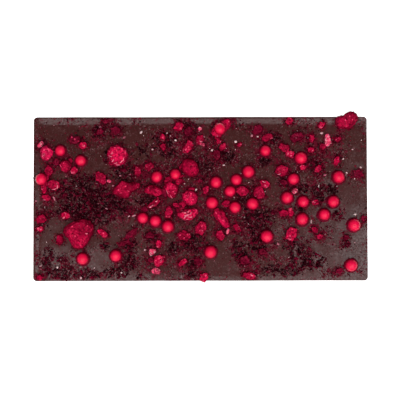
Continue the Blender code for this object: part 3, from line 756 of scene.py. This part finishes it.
def dress(piece, material, slot, *nodes):
    """Gives a finished piece its material and its body, and hides the nodes that it replaces. The slot is not
    used.
    """
    piece.data.materials.clear()
    piece.data.materials.append(material)
    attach(piece, BODY)
    if nodes:
        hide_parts(*nodes)


def surfaces(names):
    """The surfaces of some pieces, ready to be searched."""
    depsgraph = bpy.context.evaluated_depsgraph_get()
    depsgraph.update()
    return [BVHTree.FromObject(bpy.data.objects[name], depsgraph) for name in names]


def height_finder(*names):
    """A function that gives the height of the highest of some pieces at a place, or None beside them."""
    trees = surfaces(names)

    def height(place):
        above = Vector((place[0], place[1], LOOKOUT))
        hits = [tree.ray_cast(above, Vector((0, 0, -1)))[0] for tree in trees]
        heights = [hit.z for hit in hits if hit]
        return max(heights) if heights else None

    return height


def edge_distance(point):
    """Distance of a point in from the bar's outline with its round corners."""
    from_end, from_side = BAR_LENGTH / 2 - abs(point.x), BAR_WIDTH / 2 - abs(point.y)
    radius = sizes().corner_radius
    if max(from_end, from_side) < radius:
        return radius - math.hypot(radius - from_end, radius - from_side)
    return min(from_end, from_side)


class CHOCOLATE_BAR_OT_slab(bpy.types.Operator):
    """Models the chocolate: underside, leaning walls, rounded lip, low rim and poured field."""

    bl_idname = "chocolate_bar.slab"
    bl_label = "Chocolate slab"

    # Insets from the rim's crest to the field, and how many of them pass before the slope begins
    RIM_STEPS = 8
    RIM_EASE = 0.4

    CORNER_STEPS, LIP_STEPS, FOOT_STEPS = 6, 4, 3

    # Keeps the cuts off the corners' own edges
    CUT_SHIFT = 0.03 * MM

    # Unevenness of the poured face: size of the waves, share of their full height, and where they are
    WAVES = ((17 * MM, 1.0, "field"), (5 * MM, 0.35, "field"), (11 * MM, 0.5, "edge"))

    def execute(self, context):
        sized = sizes()
        crest = sized.field_height + sized.rim_rise
        slab = add_primitive("cube", "chocolate_slab", size=1)
        bpy.ops.object.mode_set(mode="EDIT")
        bpy.ops.mesh.select_all(action="SELECT")
        origin = (0, 0, 0)
        bpy.ops.transform.resize(value=(BAR_LENGTH, BAR_WIDTH, crest), center_override=origin)
        bpy.ops.transform.translate(value=(0, 0, crest / 2))
        pick("verts", lambda vert: vert.co.z < crest / 2)
        shrink = (1 - 2 * sized.wall_lean / BAR_LENGTH, 1 - 2 * sized.wall_lean / BAR_WIDTH, 1)
        bpy.ops.transform.resize(value=shrink, center_override=origin)
        self.sink_field(sized)
        self.round_edges(sized, crest)
        self.cut_faces(sized)
        bpy.ops.object.mode_set(mode="OBJECT")
        self.pour(slab, sized)
        slab.data.shade_smooth()
        for name, pattern in (("dusting", dusting), ("drift", drifting)):
            shares = [pattern(vert.co) for vert in slab.data.vertices]
            slab.data.attributes.new(name, "FLOAT", "POINT").data.foreach_set("value", shares)
        dress(slab, chocolate_finish(), "dark_chocolate", "chocolate_bar")
        return {"FINISHED"}

    def sink_field(self, sized):
        """Insets the top face again and again, lower each time, down the inside of the rim."""
        pick("faces", lambda face: face.normal.z > 0.9)
        step_width = sized.rim_width / self.RIM_STEPS
        fallen = 0.0
        for step in range(1, self.RIM_STEPS + 1):
            share = max(0.0, (step - self.RIM_EASE) / (self.RIM_STEPS - self.RIM_EASE))
            fall = sized.rim_rise * (1 - math.cos(math.pi * share)) / 2
            bpy.ops.mesh.inset(thickness=step_width, use_even_offset=True)
            bpy.ops.transform.translate(value=(0, 0, fallen - fall))
            fallen = fall

    def round_edges(self, sized, crest):
        """Rounds the corners, the lip and the foot."""

        def slanting(edge):
            run = edge.verts[1].co - edge.verts[0].co
            return abs(run.x) > NEARLY_ZERO and abs(abs(run.x) - abs(run.y)) < NEARLY_ZERO

        pick("edges", slanting)
        bpy.ops.mesh.bevel(offset=sized.corner_radius, segments=self.CORNER_STEPS, affect="EDGES")
        pick("edges", lambda edge: all(vert.co.z > crest - NEARLY_ZERO for vert in edge.verts))
        bpy.ops.mesh.bevel(offset=sized.lip_round, segments=self.LIP_STEPS, affect="EDGES")
        pick("edges", lambda edge: all(vert.co.z < NEARLY_ZERO for vert in edge.verts))
        bpy.ops.mesh.bevel(offset=sized.foot_round, segments=self.FOOT_STEPS, affect="EDGES")

    def cut_faces(self, sized):
        """Cuts the whole slab into small faces along X and Y."""
        for axis, reach in ((0, BAR_LENGTH), (1, BAR_WIDTH)):
            count = round(reach / sized.cut_spacing)
            normal = Vector((0, 0, 0))
            normal[axis] = 1
            for cut in range(1, count):
                bpy.ops.mesh.select_all(action="SELECT")
                along = (cut / count - 0.5) * reach + self.CUT_SHIFT
                bpy.ops.mesh.bisect(plane_co=normal * along, plane_no=normal)

    def pour(self, slab, sized):
        """Lowers the near and the right rim, and makes the poured field and the rim's crest uneven."""
        field = slab.vertex_groups.new(name="field")
        edge = slab.vertex_groups.new(name="edge")
        near = slab.vertex_groups.new(name="near")
        for vert in slab.data.vertices:
            if vert.co.z < sized.field_height - sized.rim_rise:
                continue
            inward = edge_distance(vert.co)
            share = min(1.0, max(0.0, inward / sized.rim_width))
            field.add([vert.index], share, "REPLACE")
            edge.add([vert.index], 1.0 - share, "REPLACE")
            near.add([vert.index], self.near_share(vert.co, sized), "REPLACE")
        apply_modifier(slab, "DISPLACE", direction="Z", strength=-(sized.rim_rise + sized.near_fall),
                       mid_level=0.0, vertex_group="near")
        for size, share, group in self.WAVES:
            relief(slab, "CLOUDS", size, share * sized.wave, group)

    def near_share(self, point, sized):
        """How far a point sinks, from 0 to 1.

        At the near side and the right end it is all of the rim's rise and a little more, and it fades out
        toward the corners where they meet the raised rim.
        """
        from_near, from_right = point.y + BAR_WIDTH / 2, BAR_LENGTH / 2 - point.x
        inward = max(0.0, min(from_near, from_right) / sized.rim_width)
        if inward >= 1:
            return 0.0
        slope = max(0.0, (self.RIM_STEPS * inward - self.RIM_EASE) / (self.RIM_STEPS - self.RIM_EASE))
        sunk = sized.rim_rise * (1 + math.cos(math.pi * slope)) / 2 + sized.near_fall * (1 - inward) ** 2
        raised = BAR_LENGTH - from_right if from_near < from_right else BAR_WIDTH - from_near
        return sunk / (sized.rim_rise + sized.near_fall) * min(1.0, max(0.0, raised / (2 * sized.rim_width)))


class CHOCOLATE_BAR_OT_collars(bpy.types.Operator):
    """Draws the chocolate up into a low soft collar round each pearl."""

    bl_idname = "chocolate_bar.collars"
    bl_label = "Pearl collars"

    # The collar's height over the slab and depth in it, and its top as a share of the pearl's radius
    HEIGHT = 0.75 * MM
    SUNK = 0.35 * MM
    SIDES = 32
    TOP_SHARE = 0.7
    JOLT = 0.2 * MM
    GRAIN = 0.25 * MM

    def execute(self, context):
        height = height_finder("chocolate_slab")
        collars = None
        for index, (pixel_x, pixel_y, diameter) in enumerate(PEARLS[:-1]):
            place = on_bar(pixel_x, pixel_y)
            radius = diameter * PIXEL / 2
            settings = {
                "vertices": self.SIDES, "depth": self.HEIGHT + self.SUNK,
                "radius1": radius + sizes().collar_width, "radius2": self.TOP_SHARE * radius,
                "location": (*place, height(place) + (self.HEIGHT - self.SUNK) / 2),
            }
            collars = add_to(collars, "cone", "pearl_collars", **settings)
            bpy.ops.transform.vertex_random(offset=self.JOLT, seed=index)
        bpy.ops.object.mode_set(mode="OBJECT")
        apply_modifier(collars, "REMESH", mode="VOXEL", voxel_size=self.GRAIN)
        apply_modifier(collars, "SMOOTH", factor=0.6, iterations=3)
        relief(collars, "CLOUDS", 1.5 * MM, 0.15 * MM)
        collars.data.shade_smooth()
        dress(collars, collar_finish(), "dark_chocolate", "chocolate_bar")
        return {"FINISHED"}


class CHOCOLATE_BAR_OT_pearls(bpy.types.Operator):
    """Sets the sugar pearls a little way into what carries them."""

    bl_idname = "chocolate_bar.pearls"
    bl_label = "Sugar pearls"

    # Levels of faces on a pearl, and what its radius is multiplied by across and upward
    SUBDIVISIONS = 4
    ACROSS = (0.97, 1.03)
    TALL = (0.95, 1.0)

    def execute(self, context):
        height = height_finder("chocolate_slab")
        pearls = None
        for index, (pixel_x, pixel_y, diameter) in enumerate(PEARLS):
            place = on_bar(pixel_x, pixel_y)
            radius = diameter * PIXEL / 2
            chance = random.Random(SEED + index)
            stretch = [chance.uniform(*reach) for reach in (self.ACROSS, self.ACROSS, self.TALL)]
            turn = (0, 0, chance.uniform(0, math.tau))
            base = PEARL_ON_BERRY_BASE if index == len(PEARLS) - 1 else 0.0
            middle = (*place, height(place) + base + radius * sizes().pearl_lift)
            pearls = add_to(pearls, "ico_sphere", "sugar_pearls", subdivisions=self.SUBDIVISIONS,
                            radius=radius, location=middle, rotation=turn, scale=stretch)
        bpy.ops.object.mode_set(mode="OBJECT")
        note_upward(pearls)
        relief(pearls, "CLOUDS", 2.6 * MM, 0.16 * MM)
        relief(pearls, "CLOUDS", 0.8 * MM, 0.04 * MM)
        pearls.data.shade_smooth()
        dress(pearls, pearl_finish(), "sugar_pearl", "chocolate_bar")
        return {"FINISHED"}


class CHOCOLATE_BAR_OT_berry_pieces(bpy.types.Operator):
    """Turns each large berry solid into craggy freeze-dried fruit that lies on the chocolate."""

    bl_idname = "chocolate_bar.berry_pieces"
    bl_label = "Large berry pieces"

    # How far the solids are drawn down onto the chocolate, how much their skin swells, and the height of the
    # flake under a pearl, where the pearl on it begins
    SETTLE = 0.5 * MM
    SWELL = 0.40 * MM
    FLAKE_TOP = 2.15 * MM

    def execute(self, context):
        for node, (name, kind) in BERRY_PIECES.items():
            piece = put_in_scene(name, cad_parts[node].data.copy())
            make_active(piece)
            bpy.ops.object.mode_set(mode="EDIT")
            bpy.ops.mesh.select_all(action="SELECT")
            bpy.ops.mesh.remove_doubles(threshold=0.01 * MM)
            low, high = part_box(node)
            if node == "berry_piece_under_pearl":
                high.z = low.z + self.FLAKE_TOP
                bpy.ops.mesh.bisect(plane_co=high, plane_no=(0, 0, 1), use_fill=True, clear_outer=True)
                bpy.ops.mesh.select_all(action="SELECT")
            settled = 1 + self.SETTLE / (high.z - low.z)
            bpy.ops.transform.resize(value=(1, 1, settled), center_override=high)
            bpy.ops.object.mode_set(mode="OBJECT")
            roughen_fruit(piece, kind, self.SWELL)
            dress(piece, berry_finish(kind), "dried_berry", node)
        return {"FINISHED"}


def berry_names():
    """The names of the large berry pieces."""
    return [name for name, kind in BERRY_PIECES.values()]


def roughen_fruit(piece, kind, swell):
    """Gives a plain lump a slightly swollen skin with the drupelets and crust of its kind of fruit."""
    drupelet, depth = FRUIT_KINDS[kind][2:]
    apply_modifier(piece, "REMESH", mode="VOXEL", voxel_size=sizes().berry_grain)
    apply_modifier(piece, "SMOOTH", factor=0.6, iterations=3)
    apply_modifier(piece, "DISPLACE", strength=swell, mid_level=0.0)
    relief(piece, "CLOUDS", 3.0 * MM, 1.2 * depth)

    # The broad form tells up from sideways, before the fine relief roughens it, for the painted shade
    note_upward(piece)
    relief(piece, "VORONOI", drupelet, -depth, middle=0.35)
    relief(piece, "CLOUDS", 0.6 * MM, 0.6 * depth, noise_type="HARD_NOISE")
    piece.data.shade_smooth()


def model_bits(name, rows):
    """Broken bits, each from a few-sided block that is jolted out of its regular form, all in one piece."""
    height = height_finder("chocolate_slab")
    bits = None
    for index, (pixel_x, pixel_y, length, width, turn) in enumerate(rows):
        chance = random.Random(f"{name} {index}")
        place = on_bar(pixel_x, pixel_y)
        tall = max(LEAST_BIT_HEIGHT, width * PIXEL * sizes().bit_height * chance.uniform(0.9, 1.25))
        lean = [math.radians(chance.uniform(-BIT_LEAN, BIT_LEAN)) for axis in range(2)]
        settings = {
            "vertices": chance.choice((6, 7, 8)), "radius": 0.5, "depth": 1.0,
            "location": (*place, height(place) + BIT_MIDDLE * tall),
            "rotation": (*lean, math.radians(turn)),
            "scale": (length * PIXEL * BIT_OVERSIZE, width * PIXEL * BIT_OVERSIZE, BIT_OVERHEIGHT * tall),
        }
        bits = add_to(bits, "cylinder", name, **settings)
        bpy.ops.transform.vertex_random(offset=BIT_JOLT * width * PIXEL, seed=index)
    bpy.ops.object.mode_set(mode="OBJECT")
    return bits


class CHOCOLATE_BAR_OT_bits(bpy.types.Operator):
    """Strews the smaller berry bits where they lie: crimson, bright, dark and pale."""

    bl_idname = "chocolate_bar.bits"
    bl_label = "Berry bits"

    # How far the stain and painted shade round the fruit reach on the chocolate, and how much the skin of the
    # bits swells
    STAIN_AND_SHADE_REACH = 2.1 * MM
    SWELL = 0.12 * MM

    def execute(self, context):
        for name, (rows, kind) in BIT_GROUPS.items():
            bits = model_bits(name, rows)
            roughen_fruit(bits, kind, self.SWELL)
            dress(bits, berry_finish(kind), "dried_berry", "chocolate_bar")
        self.stain_and_shade_slab()
        return {"FINISHED"}

    def stain_and_shade_slab(self):
        """Notes on each point of the slab how close fruit lies, from 0 to 1, for its stain and painted shade.
        """
        trees = surfaces((*BIT_GROUPS, *berry_names()))
        slab = bpy.data.objects["chocolate_slab"].data
        halo = []
        for vert in slab.vertices:
            gaps = [tree.find_nearest(vert.co, self.STAIN_AND_SHADE_REACH)[3] for tree in trees]
            nearest = min([gap for gap in gaps if gap is not None], default=self.STAIN_AND_SHADE_REACH)
            halo.append(1 - nearest / self.STAIN_AND_SHADE_REACH)
        slab.attributes.new("halo", "FLOAT", "POINT").data.foreach_set("value", halo)


def grain_forms(count, jolt, subdivisions=1):
    """A few broken grain shapes, as points and faces, each modelled once and then strewn many times."""
    forms = []
    for seed in range(count):
        grain = add_primitive("ico_sphere", "grain_form", subdivisions=subdivisions, radius=0.5)
        bpy.ops.object.mode_set(mode="EDIT")
        bpy.ops.mesh.select_all(action="SELECT")
        bpy.ops.transform.vertex_random(offset=jolt, seed=seed)
        bpy.ops.object.mode_set(mode="OBJECT")
        points = np.array([vert.co for vert in grain.data.vertices])
        faces = np.array([face.vertices for face in grain.data.polygons])
        forms.append((points, faces))
        bpy.data.meshes.remove(grain.data)
    return forms


def curl_forms(count):
    """A few thin bent shreds, each as long and as wide as 1, as points and faces."""
    forms = []
    for points, faces in grain_forms(count, 0.12, 2):
        bent = points.copy()
        bent[:, 1] = 0.55 * points[:, 1] + 1.2 * points[:, 0] ** 2 - 0.15
        forms.append((bent, faces))
    return forms


def strew(name, forms, grains):
    """One piece of many grains. A grain is its middle, its size along three axes, its turn and its tint."""
    points, faces, tints = [], [], []
    start = 0
    for index, (middle, size, turn, tint) in enumerate(grains):
        form_points, form_faces = forms[index % len(forms)]
        turned = (form_points * size) @ np.array(Euler(turn).to_matrix()).T
        points.append(turned + np.array(middle))
        faces.append(form_faces + start)
        tints.append(np.full(len(form_points), tint, np.float32))
        start += len(form_points)
    mesh = bpy.data.meshes.new(name)
    mesh.from_pydata(np.concatenate(points).tolist(), [], np.concatenate(faces).tolist())
    mesh.attributes.new("tint", "FLOAT", "POINT").data.foreach_set("value", np.concatenate(tints))
    return put_in_scene(name, mesh)


def clear_of_pearls(place, room):
    """Whether a place keeps its room from the foot of every pearl."""
    return all((place - on_bar(x, y)).length > diameter * PIXEL / 2 * PEARL_FOOT + room
               for x, y, diameter in PEARLS)


def random_turn(chance):
    """Any turn in space."""
    return tuple(chance.uniform(0, math.tau) for axis in range(3))


def mostly_least(chance, least, most, power):
    """A number between two others, the nearer to the least the higher the power."""
    return least + (most - least) * chance.random() ** power


class CHOCOLATE_BAR_OT_crumbs(bpy.types.Operator):
    """Strews the dark crumbs, drift by drift, and crimson crumbs all over."""

    bl_idname = "chocolate_bar.crumbs"
    bl_label = "Berry crumbs"

    # How high a bit may stand over the slab where a crumb lies, how far a drift spreads past its outline, and
    # how high it piles up in its middle
    OPEN = 0.5 * MM
    SPREAD = 1.1
    PILE = 0.6 * MM

    # Lengths of the crumbs: least, most and power of the draw
    DARK_LENGTHS = (0.9 * MM, 3.0 * MM, 1.6)
    STRAY_LENGTHS = (0.5 * MM, 1.6 * MM, 2)

    # Share of the stray crumbs that lie beside a bit, and their spread round it in pixels
    BESIDE_BITS = 0.45
    BESIDE_SPREAD = 1.8

    def execute(self, context):
        chance = random.Random(SEED)
        height = height_finder("chocolate_slab")
        top = height_finder("chocolate_slab", *BIT_GROUPS)
        dark = []
        for x, y, half_width, half_height, number in CRUMB_DRIFTS:
            for crumb in range(round(sizes().drift_density * number)):
                angle, reach = chance.uniform(0, math.tau), chance.random() ** 0.55 * self.SPREAD
                along, across = half_width * math.cos(angle), half_height * math.sin(angle)
                place = on_bar(x + reach * along, y + reach * across)
                length = mostly_least(chance, *self.DARK_LENGTHS)
                if (clear_of_pearls(place, 0.3 * length) and edge_distance(place) > 0.3 * length
                        and top(place) - height(place) < self.OPEN):
                    pile = chance.uniform(0, self.PILE) * max(0.0, 1 - reach)
                    tint = chance.choice((-0.5, -0.2, 0.2, 0.5, 1.1)) if reach < 1 else 0.5
                    dark.append(self.crumb(place, length, height(place) + pile, chance, tint))
        made = colours()
        black, crimson, burgundy = Vector(made.crumb_black_and_shade), Vector(made.berry), Vector(made.berry_dark)
        crumbs = strew("dark_crumbs", grain_forms(8, 0.15), dark)
        look = strewn_finish("crumb_dark", 0.7 * black, 0.85 * burgundy, 0.01, glint_flecked=True)
        dress(crumbs, look, "dried_berry", "chocolate_bar")
        stray = []
        while len(stray) < sizes().crumb_count:
            place, share = self.stray_place(chance)
            length = mostly_least(chance, *self.STRAY_LENGTHS)
            if (chance.random() < share and clear_of_pearls(place, 0.3 * length)
                    and edge_distance(place) > 0.4 * length and top(place) - height(place) < self.OPEN):
                stray.append(self.crumb(place, length, height(place), chance, chance.random() ** 1.6))
        crumbs = strew("crimson_crumbs", grain_forms(8, 0.17), stray)
        look = strewn_finish("crumb_crimson", 0.25 * burgundy, 0.55 * crimson, 0.01, glint_flecked=True)
        dress(crumbs, look, "dried_berry", "chocolate_bar")
        return {"FINISHED"}

    def stray_place(self, chance):
        """A place anywhere on the bar, or beside one of the bits, and how likely a crumb lies there."""
        if chance.random() < self.BESIDE_BITS:
            x, y, length, width, turn = chance.choice(CRIMSON_BITS + BRIGHT_BITS + DARK_BITS)
            angle, spread = chance.uniform(0, math.tau), abs(chance.gauss(0, self.BESIDE_SPREAD))
            along, across = (length / 2 + spread) * math.cos(angle), (width / 2 + spread) * math.sin(angle)
            turn = math.radians(turn)
            return on_bar(x + along * math.cos(turn) - across * math.sin(turn),
                          y - along * math.sin(turn) - across * math.cos(turn)), 1.0
        place = anywhere(chance)
        return place, dusting(place)

    def crumb(self, place, length, floor, chance, tint):
        """A flat uneven crumb on what is under it. A few of the small ones are greyish: painted glints."""
        size = (length, length * chance.uniform(0.22, 0.65), length * chance.uniform(0.2, 0.5))
        turn = (chance.uniform(-0.7, 0.7), chance.uniform(-0.7, 0.7), chance.uniform(0, math.tau))
        if length < 1.0 * MM and chance.random() < GLINT_SHARE:
            tint = GLINT_TINT
        return (*place, floor + 0.22 * size[2]), size, turn, tint


class CHOCOLATE_BAR_OT_dust(bpy.types.Operator):
    """Strews fine reddish dust, thinly on the bare patches and thickly round the drifts."""

    bl_idname = "chocolate_bar.dust"
    bl_label = "Fruit dust"

    # Lengths of the grains, and the room that they keep from the bar's edge and from the pearls
    LENGTHS = (0.35 * MM, 0.80 * MM)
    EDGE_ROOM = 0.3 * MM
    PEARL_ROOM = 0.1 * MM

    def execute(self, context):
        chance = random.Random(SEED + 1)
        height = height_finder("chocolate_slab")
        grains = []
        while len(grains) < sizes().dust_count:
            place = anywhere(chance)
            if chance.random() > dusting(place) or edge_distance(place) < self.EDGE_ROOM:
                continue
            if clear_of_pearls(place, self.PEARL_ROOM):
                length = chance.uniform(*self.LENGTHS) * mostly_least(chance, 1, 1.6, 5)
                size = (length, length * chance.uniform(0.5, 1.0), length * chance.uniform(0.3, 0.7))
                middle = (*place, height(place) + 0.1 * size[2])
                # A share of the grains are greyish: painted glints
                tint = GLINT_TINT if chance.random() < GLINT_SHARE else chance.random() ** 1.6
                grains.append((middle, size, random_turn(chance), tint))
        dust = strew("fruit_dust", grain_forms(4, 0.14), grains)
        dark, light = 0.2 * Vector(colours().berry_dark), 0.42 * Vector(colours().berry)
        look = strewn_finish("dust_fruit", dark, light, 0.01, glint_flecked=True)
        dress(dust, look, "dried_berry")
        return {"FINISHED"}


class CHOCOLATE_BAR_OT_specks(bpy.types.Operator):
    """Lays the pale seeds and sugar specks on the chocolate, and pale curls, partly painted highlights, and
    rosy painted highlights on the fruit.
    """

    bl_idname = "chocolate_bar.specks"
    bl_label = "Pale specks"

    # Seeds strewn at random, and the room that they keep from the bar's edge in pixels and from the pearls
    STRAY_SEEDS = 90
    EDGE_ROOM = 5
    PEARL_ROOM = 0.2 * MM

    CURL_AND_HIGHLIGHT_COLOUR = (1.0, 0.30, 0.42)
    ROSY_HIGHLIGHT_COLOUR = (0.90, 0.045, 0.15)

    def execute(self, context):
        chance = random.Random(SEED + 2)
        forms = grain_forms(6, 0.20)
        slab_top = height_finder("chocolate_slab")
        rows = list(PALE_SPECKS)
        left, top, right, bottom = BAR_IN_PHOTO
        for seed in range(self.STRAY_SEEDS):
            rows.append((chance.uniform(left + self.EDGE_ROOM, right - self.EDGE_ROOM),
                         chance.uniform(top + self.EDGE_ROOM, bottom - self.EDGE_ROOM),
                         chance.uniform(0.8, 1.5), chance.uniform(0.6, 1.0), chance.uniform(0, 180)))
        specks = [self.grain(row, slab_top, chance, 0.9) for row in rows
                  if clear_of_pearls(on_bar(row[0], row[1]), self.PEARL_ROOM)]
        pale = Vector(colours().berry_pale)
        look = strewn_finish("seed_pale", 0.5 * pale, colours().seed)
        dress(strew("pale_specks", forms, specks), look, "dried_berry")
        fruit_top = height_finder("chocolate_slab", *BIT_GROUPS, *berry_names())
        # Pale curls and edges, some of them painted highlights
        curls = [self.grain(row, fruit_top, chance, 1.0) for row in PALE_CURLS_AND_HIGHLIGHTS]
        look = strewn_finish("curl_pale", 0.8 * pale, self.CURL_AND_HIGHLIGHT_COLOUR)
        dress(strew("pale_curls", curl_forms(4), curls), look, "dried_berry")
        # Rosy specks on the fruit: painted highlights
        grains = [self.grain(row, fruit_top, chance, 0.8) for row in ROSY_HIGHLIGHTS]
        look = strewn_finish("grain_rosy", colours().berry_bright, self.ROSY_HIGHLIGHT_COLOUR)
        dress(strew("rosy_grains", forms, grains), look, "dried_berry")
        return {"FINISHED"}

    def grain(self, row, height, chance, thickness):
        """A flat speck that lies on what is under it."""
        pixel_x, pixel_y, length, width, turn = row
        place = on_bar(pixel_x, pixel_y)
        size = (length * PIXEL, width * PIXEL, width * PIXEL * thickness)
        lean = (chance.uniform(-0.25, 0.25), chance.uniform(-0.25, 0.25), math.radians(turn))
        return (*place, height(place) + 0.15 * size[2]), size, lean, chance.random()


class CHOCOLATE_BAR_OT_stage(bpy.types.Operator):
    """Sets up the pale floor, the soft lights and the camera over the bar."""

    bl_idname = "chocolate_bar.stage"
    bl_label = "Floor, lights and camera"

    FLOOR_SIZE = 4
    FLOOR_LEVEL = -0.1 * MM

    # Lights: width and depth, place, and the place that they look at
    KEY = ((1.2, 0.6), (0, -0.64, 0.52), (0, 0, 0))
    TOP_LIGHT = ((1.0, 1.0), (0, -0.25, 1.2), (0, -0.05, 0))

    # Panels that the chocolate mirrors: left end, right end, far edge and brightness; their depth and height
    SHEEN_PANELS = (
        ("left_sheen", -0.98, -0.08, 0.0, 1.3),
        ("middle_sheen", -0.08, 0.13, -0.10, 1.1),
        ("right_sheen", 0.13, 1.03, 0.045, 1.75),
    )
    PANEL_DEPTH = 1.2
    PANEL_HEIGHT = 1.0

    def execute(self, context):
        stage = context.scene.chocolate_bar_stage
        floor = add_primitive("plane", "floor", size=self.FLOOR_SIZE, location=(0, 0, self.FLOOR_LEVEL))
        glow = {"Roughness": 0.9, "Emission Color": (1, 1, 1, 1), "Emission Strength": 1.0}
        white = Finish("floor_white", glow)
        shade = white.noise(0.4, 2.0)
        white.feed("Base Color", white.blend(shade, (0.86, 0.86, 0.86), (0.90, 0.90, 0.90)))
        floor.data.materials.append(white.material)
        self.light("key", stage.key_power, *self.KEY)
        top = self.light("top_light", stage.top_power, *self.TOP_LIGHT)
        top.visible_glossy = False
        for name, left, right, far, share in self.SHEEN_PANELS:
            x, y = (left + right) / 2, far - self.PANEL_DEPTH / 2
            size = (right - left, self.PANEL_DEPTH)
            power = share * stage.panel_power * (right - left)
            panel = self.light(name, power, size, (x, y, self.PANEL_HEIGHT), (x, y, 0))
            panel.visible_diffuse = False
        self.room(context, stage)
        self.camera(context, stage)
        context.scene.view_settings.view_transform = "Standard"
        return {"FINISHED"}

    def light(self, name, power, size, place, aim):
        """A broad soft light that looks at a place."""
        lamp = bpy.data.lights.new(name, "AREA")
        lamp.energy = power
        lamp.shape = "RECTANGLE"
        lamp.size, lamp.size_y = size
        holder = put_in_scene(name, lamp)
        holder.location = place
        holder.rotation_euler = (Vector(aim) - Vector(place)).to_track_quat("-Z", "Y").to_euler()
        return holder

    def room(self, context, stage):
        """The pale room all round."""
        world = bpy.data.worlds.new("pale_room")
        world.use_nodes = True
        backdrop = world.node_tree.nodes["Background"]
        backdrop.inputs["Color"].default_value = (1.0, 0.99, 0.985, 1)
        backdrop.inputs["Strength"].default_value = stage.surround
        context.scene.world = world

    def camera(self, context, stage):
        """A long lens nearly straight above, framed as in the photograph."""
        aim = on_bar(PHOTO_SIZE / 2, PHOTO_SIZE / 2).to_3d()
        aim.z = sizes().field_height + sizes().rim_rise
        back = Vector((0, -math.sin(stage.tilt), math.cos(stage.tilt)))
        lens = bpy.data.cameras.new("camera")
        lens.sensor_width = 36
        lens.lens = lens.sensor_width * stage.distance / (PHOTO_SIZE * PIXEL)
        lens.clip_start, lens.clip_end = 0.01, 20
        holder = put_in_scene("camera", lens)
        holder.location = aim + back * stage.distance
        look = (-back).to_track_quat("-Z", "Y")
        holder.rotation_euler = (look @ Euler((0, 0, stage.roll)).to_quaternion()).to_euler()
        context.scene.camera = holder


class CHOCOLATE_BAR_PT_panel(bpy.types.Panel):
    """Lists the bar's pieces with their sizes and colours."""

    bl_idname = "CHOCOLATE_BAR_PT_panel"
    bl_label = "Chocolate Bar"
    bl_space_type = "VIEW_3D"
    bl_region_type = "UI"
    bl_category = "Chocolate Bar"

    def draw(self, context):
        for step in STEPS:
            self.layout.operator(step.bl_idname)
        for group in SETTINGS:
            settings = getattr(context.scene, group)
            box = self.layout.box()
            for name in settings.__annotations__:
                box.prop(settings, name)


STEPS = (
    CHOCOLATE_BAR_OT_stage, CHOCOLATE_BAR_OT_slab, CHOCOLATE_BAR_OT_collars, CHOCOLATE_BAR_OT_pearls,
    CHOCOLATE_BAR_OT_berry_pieces, CHOCOLATE_BAR_OT_bits, CHOCOLATE_BAR_OT_crumbs, CHOCOLATE_BAR_OT_dust,
    CHOCOLATE_BAR_OT_specks,
)
SETTINGS = {
    "chocolate_bar_sizes": BarSizes,
    "chocolate_bar_colours": BarColours,
    "chocolate_bar_stage": StageSettings,
}


def register():
    """Registers the settings, the operators and the panel."""
    for name, group in SETTINGS.items():
        bpy.utils.register_class(group)
        setattr(bpy.types.Scene, name, PointerProperty(type=group))
    for made in (*STEPS, CHOCOLATE_BAR_PT_panel):
        bpy.utils.register_class(made)


def unregister():
    """Takes back what register did."""
    for made in (CHOCOLATE_BAR_PT_panel, *reversed(STEPS)):
        bpy.utils.unregister_class(made)
    for name, group in SETTINGS.items():
        delattr(bpy.types.Scene, name)
        bpy.utils.unregister_class(group)


def main():
    """Builds everything in order."""
    register()
    for step in STEPS:
        group, name = step.bl_idname.split(".")
        getattr(getattr(bpy.ops, group), name)()


if __name__ == "__main__":
    main()
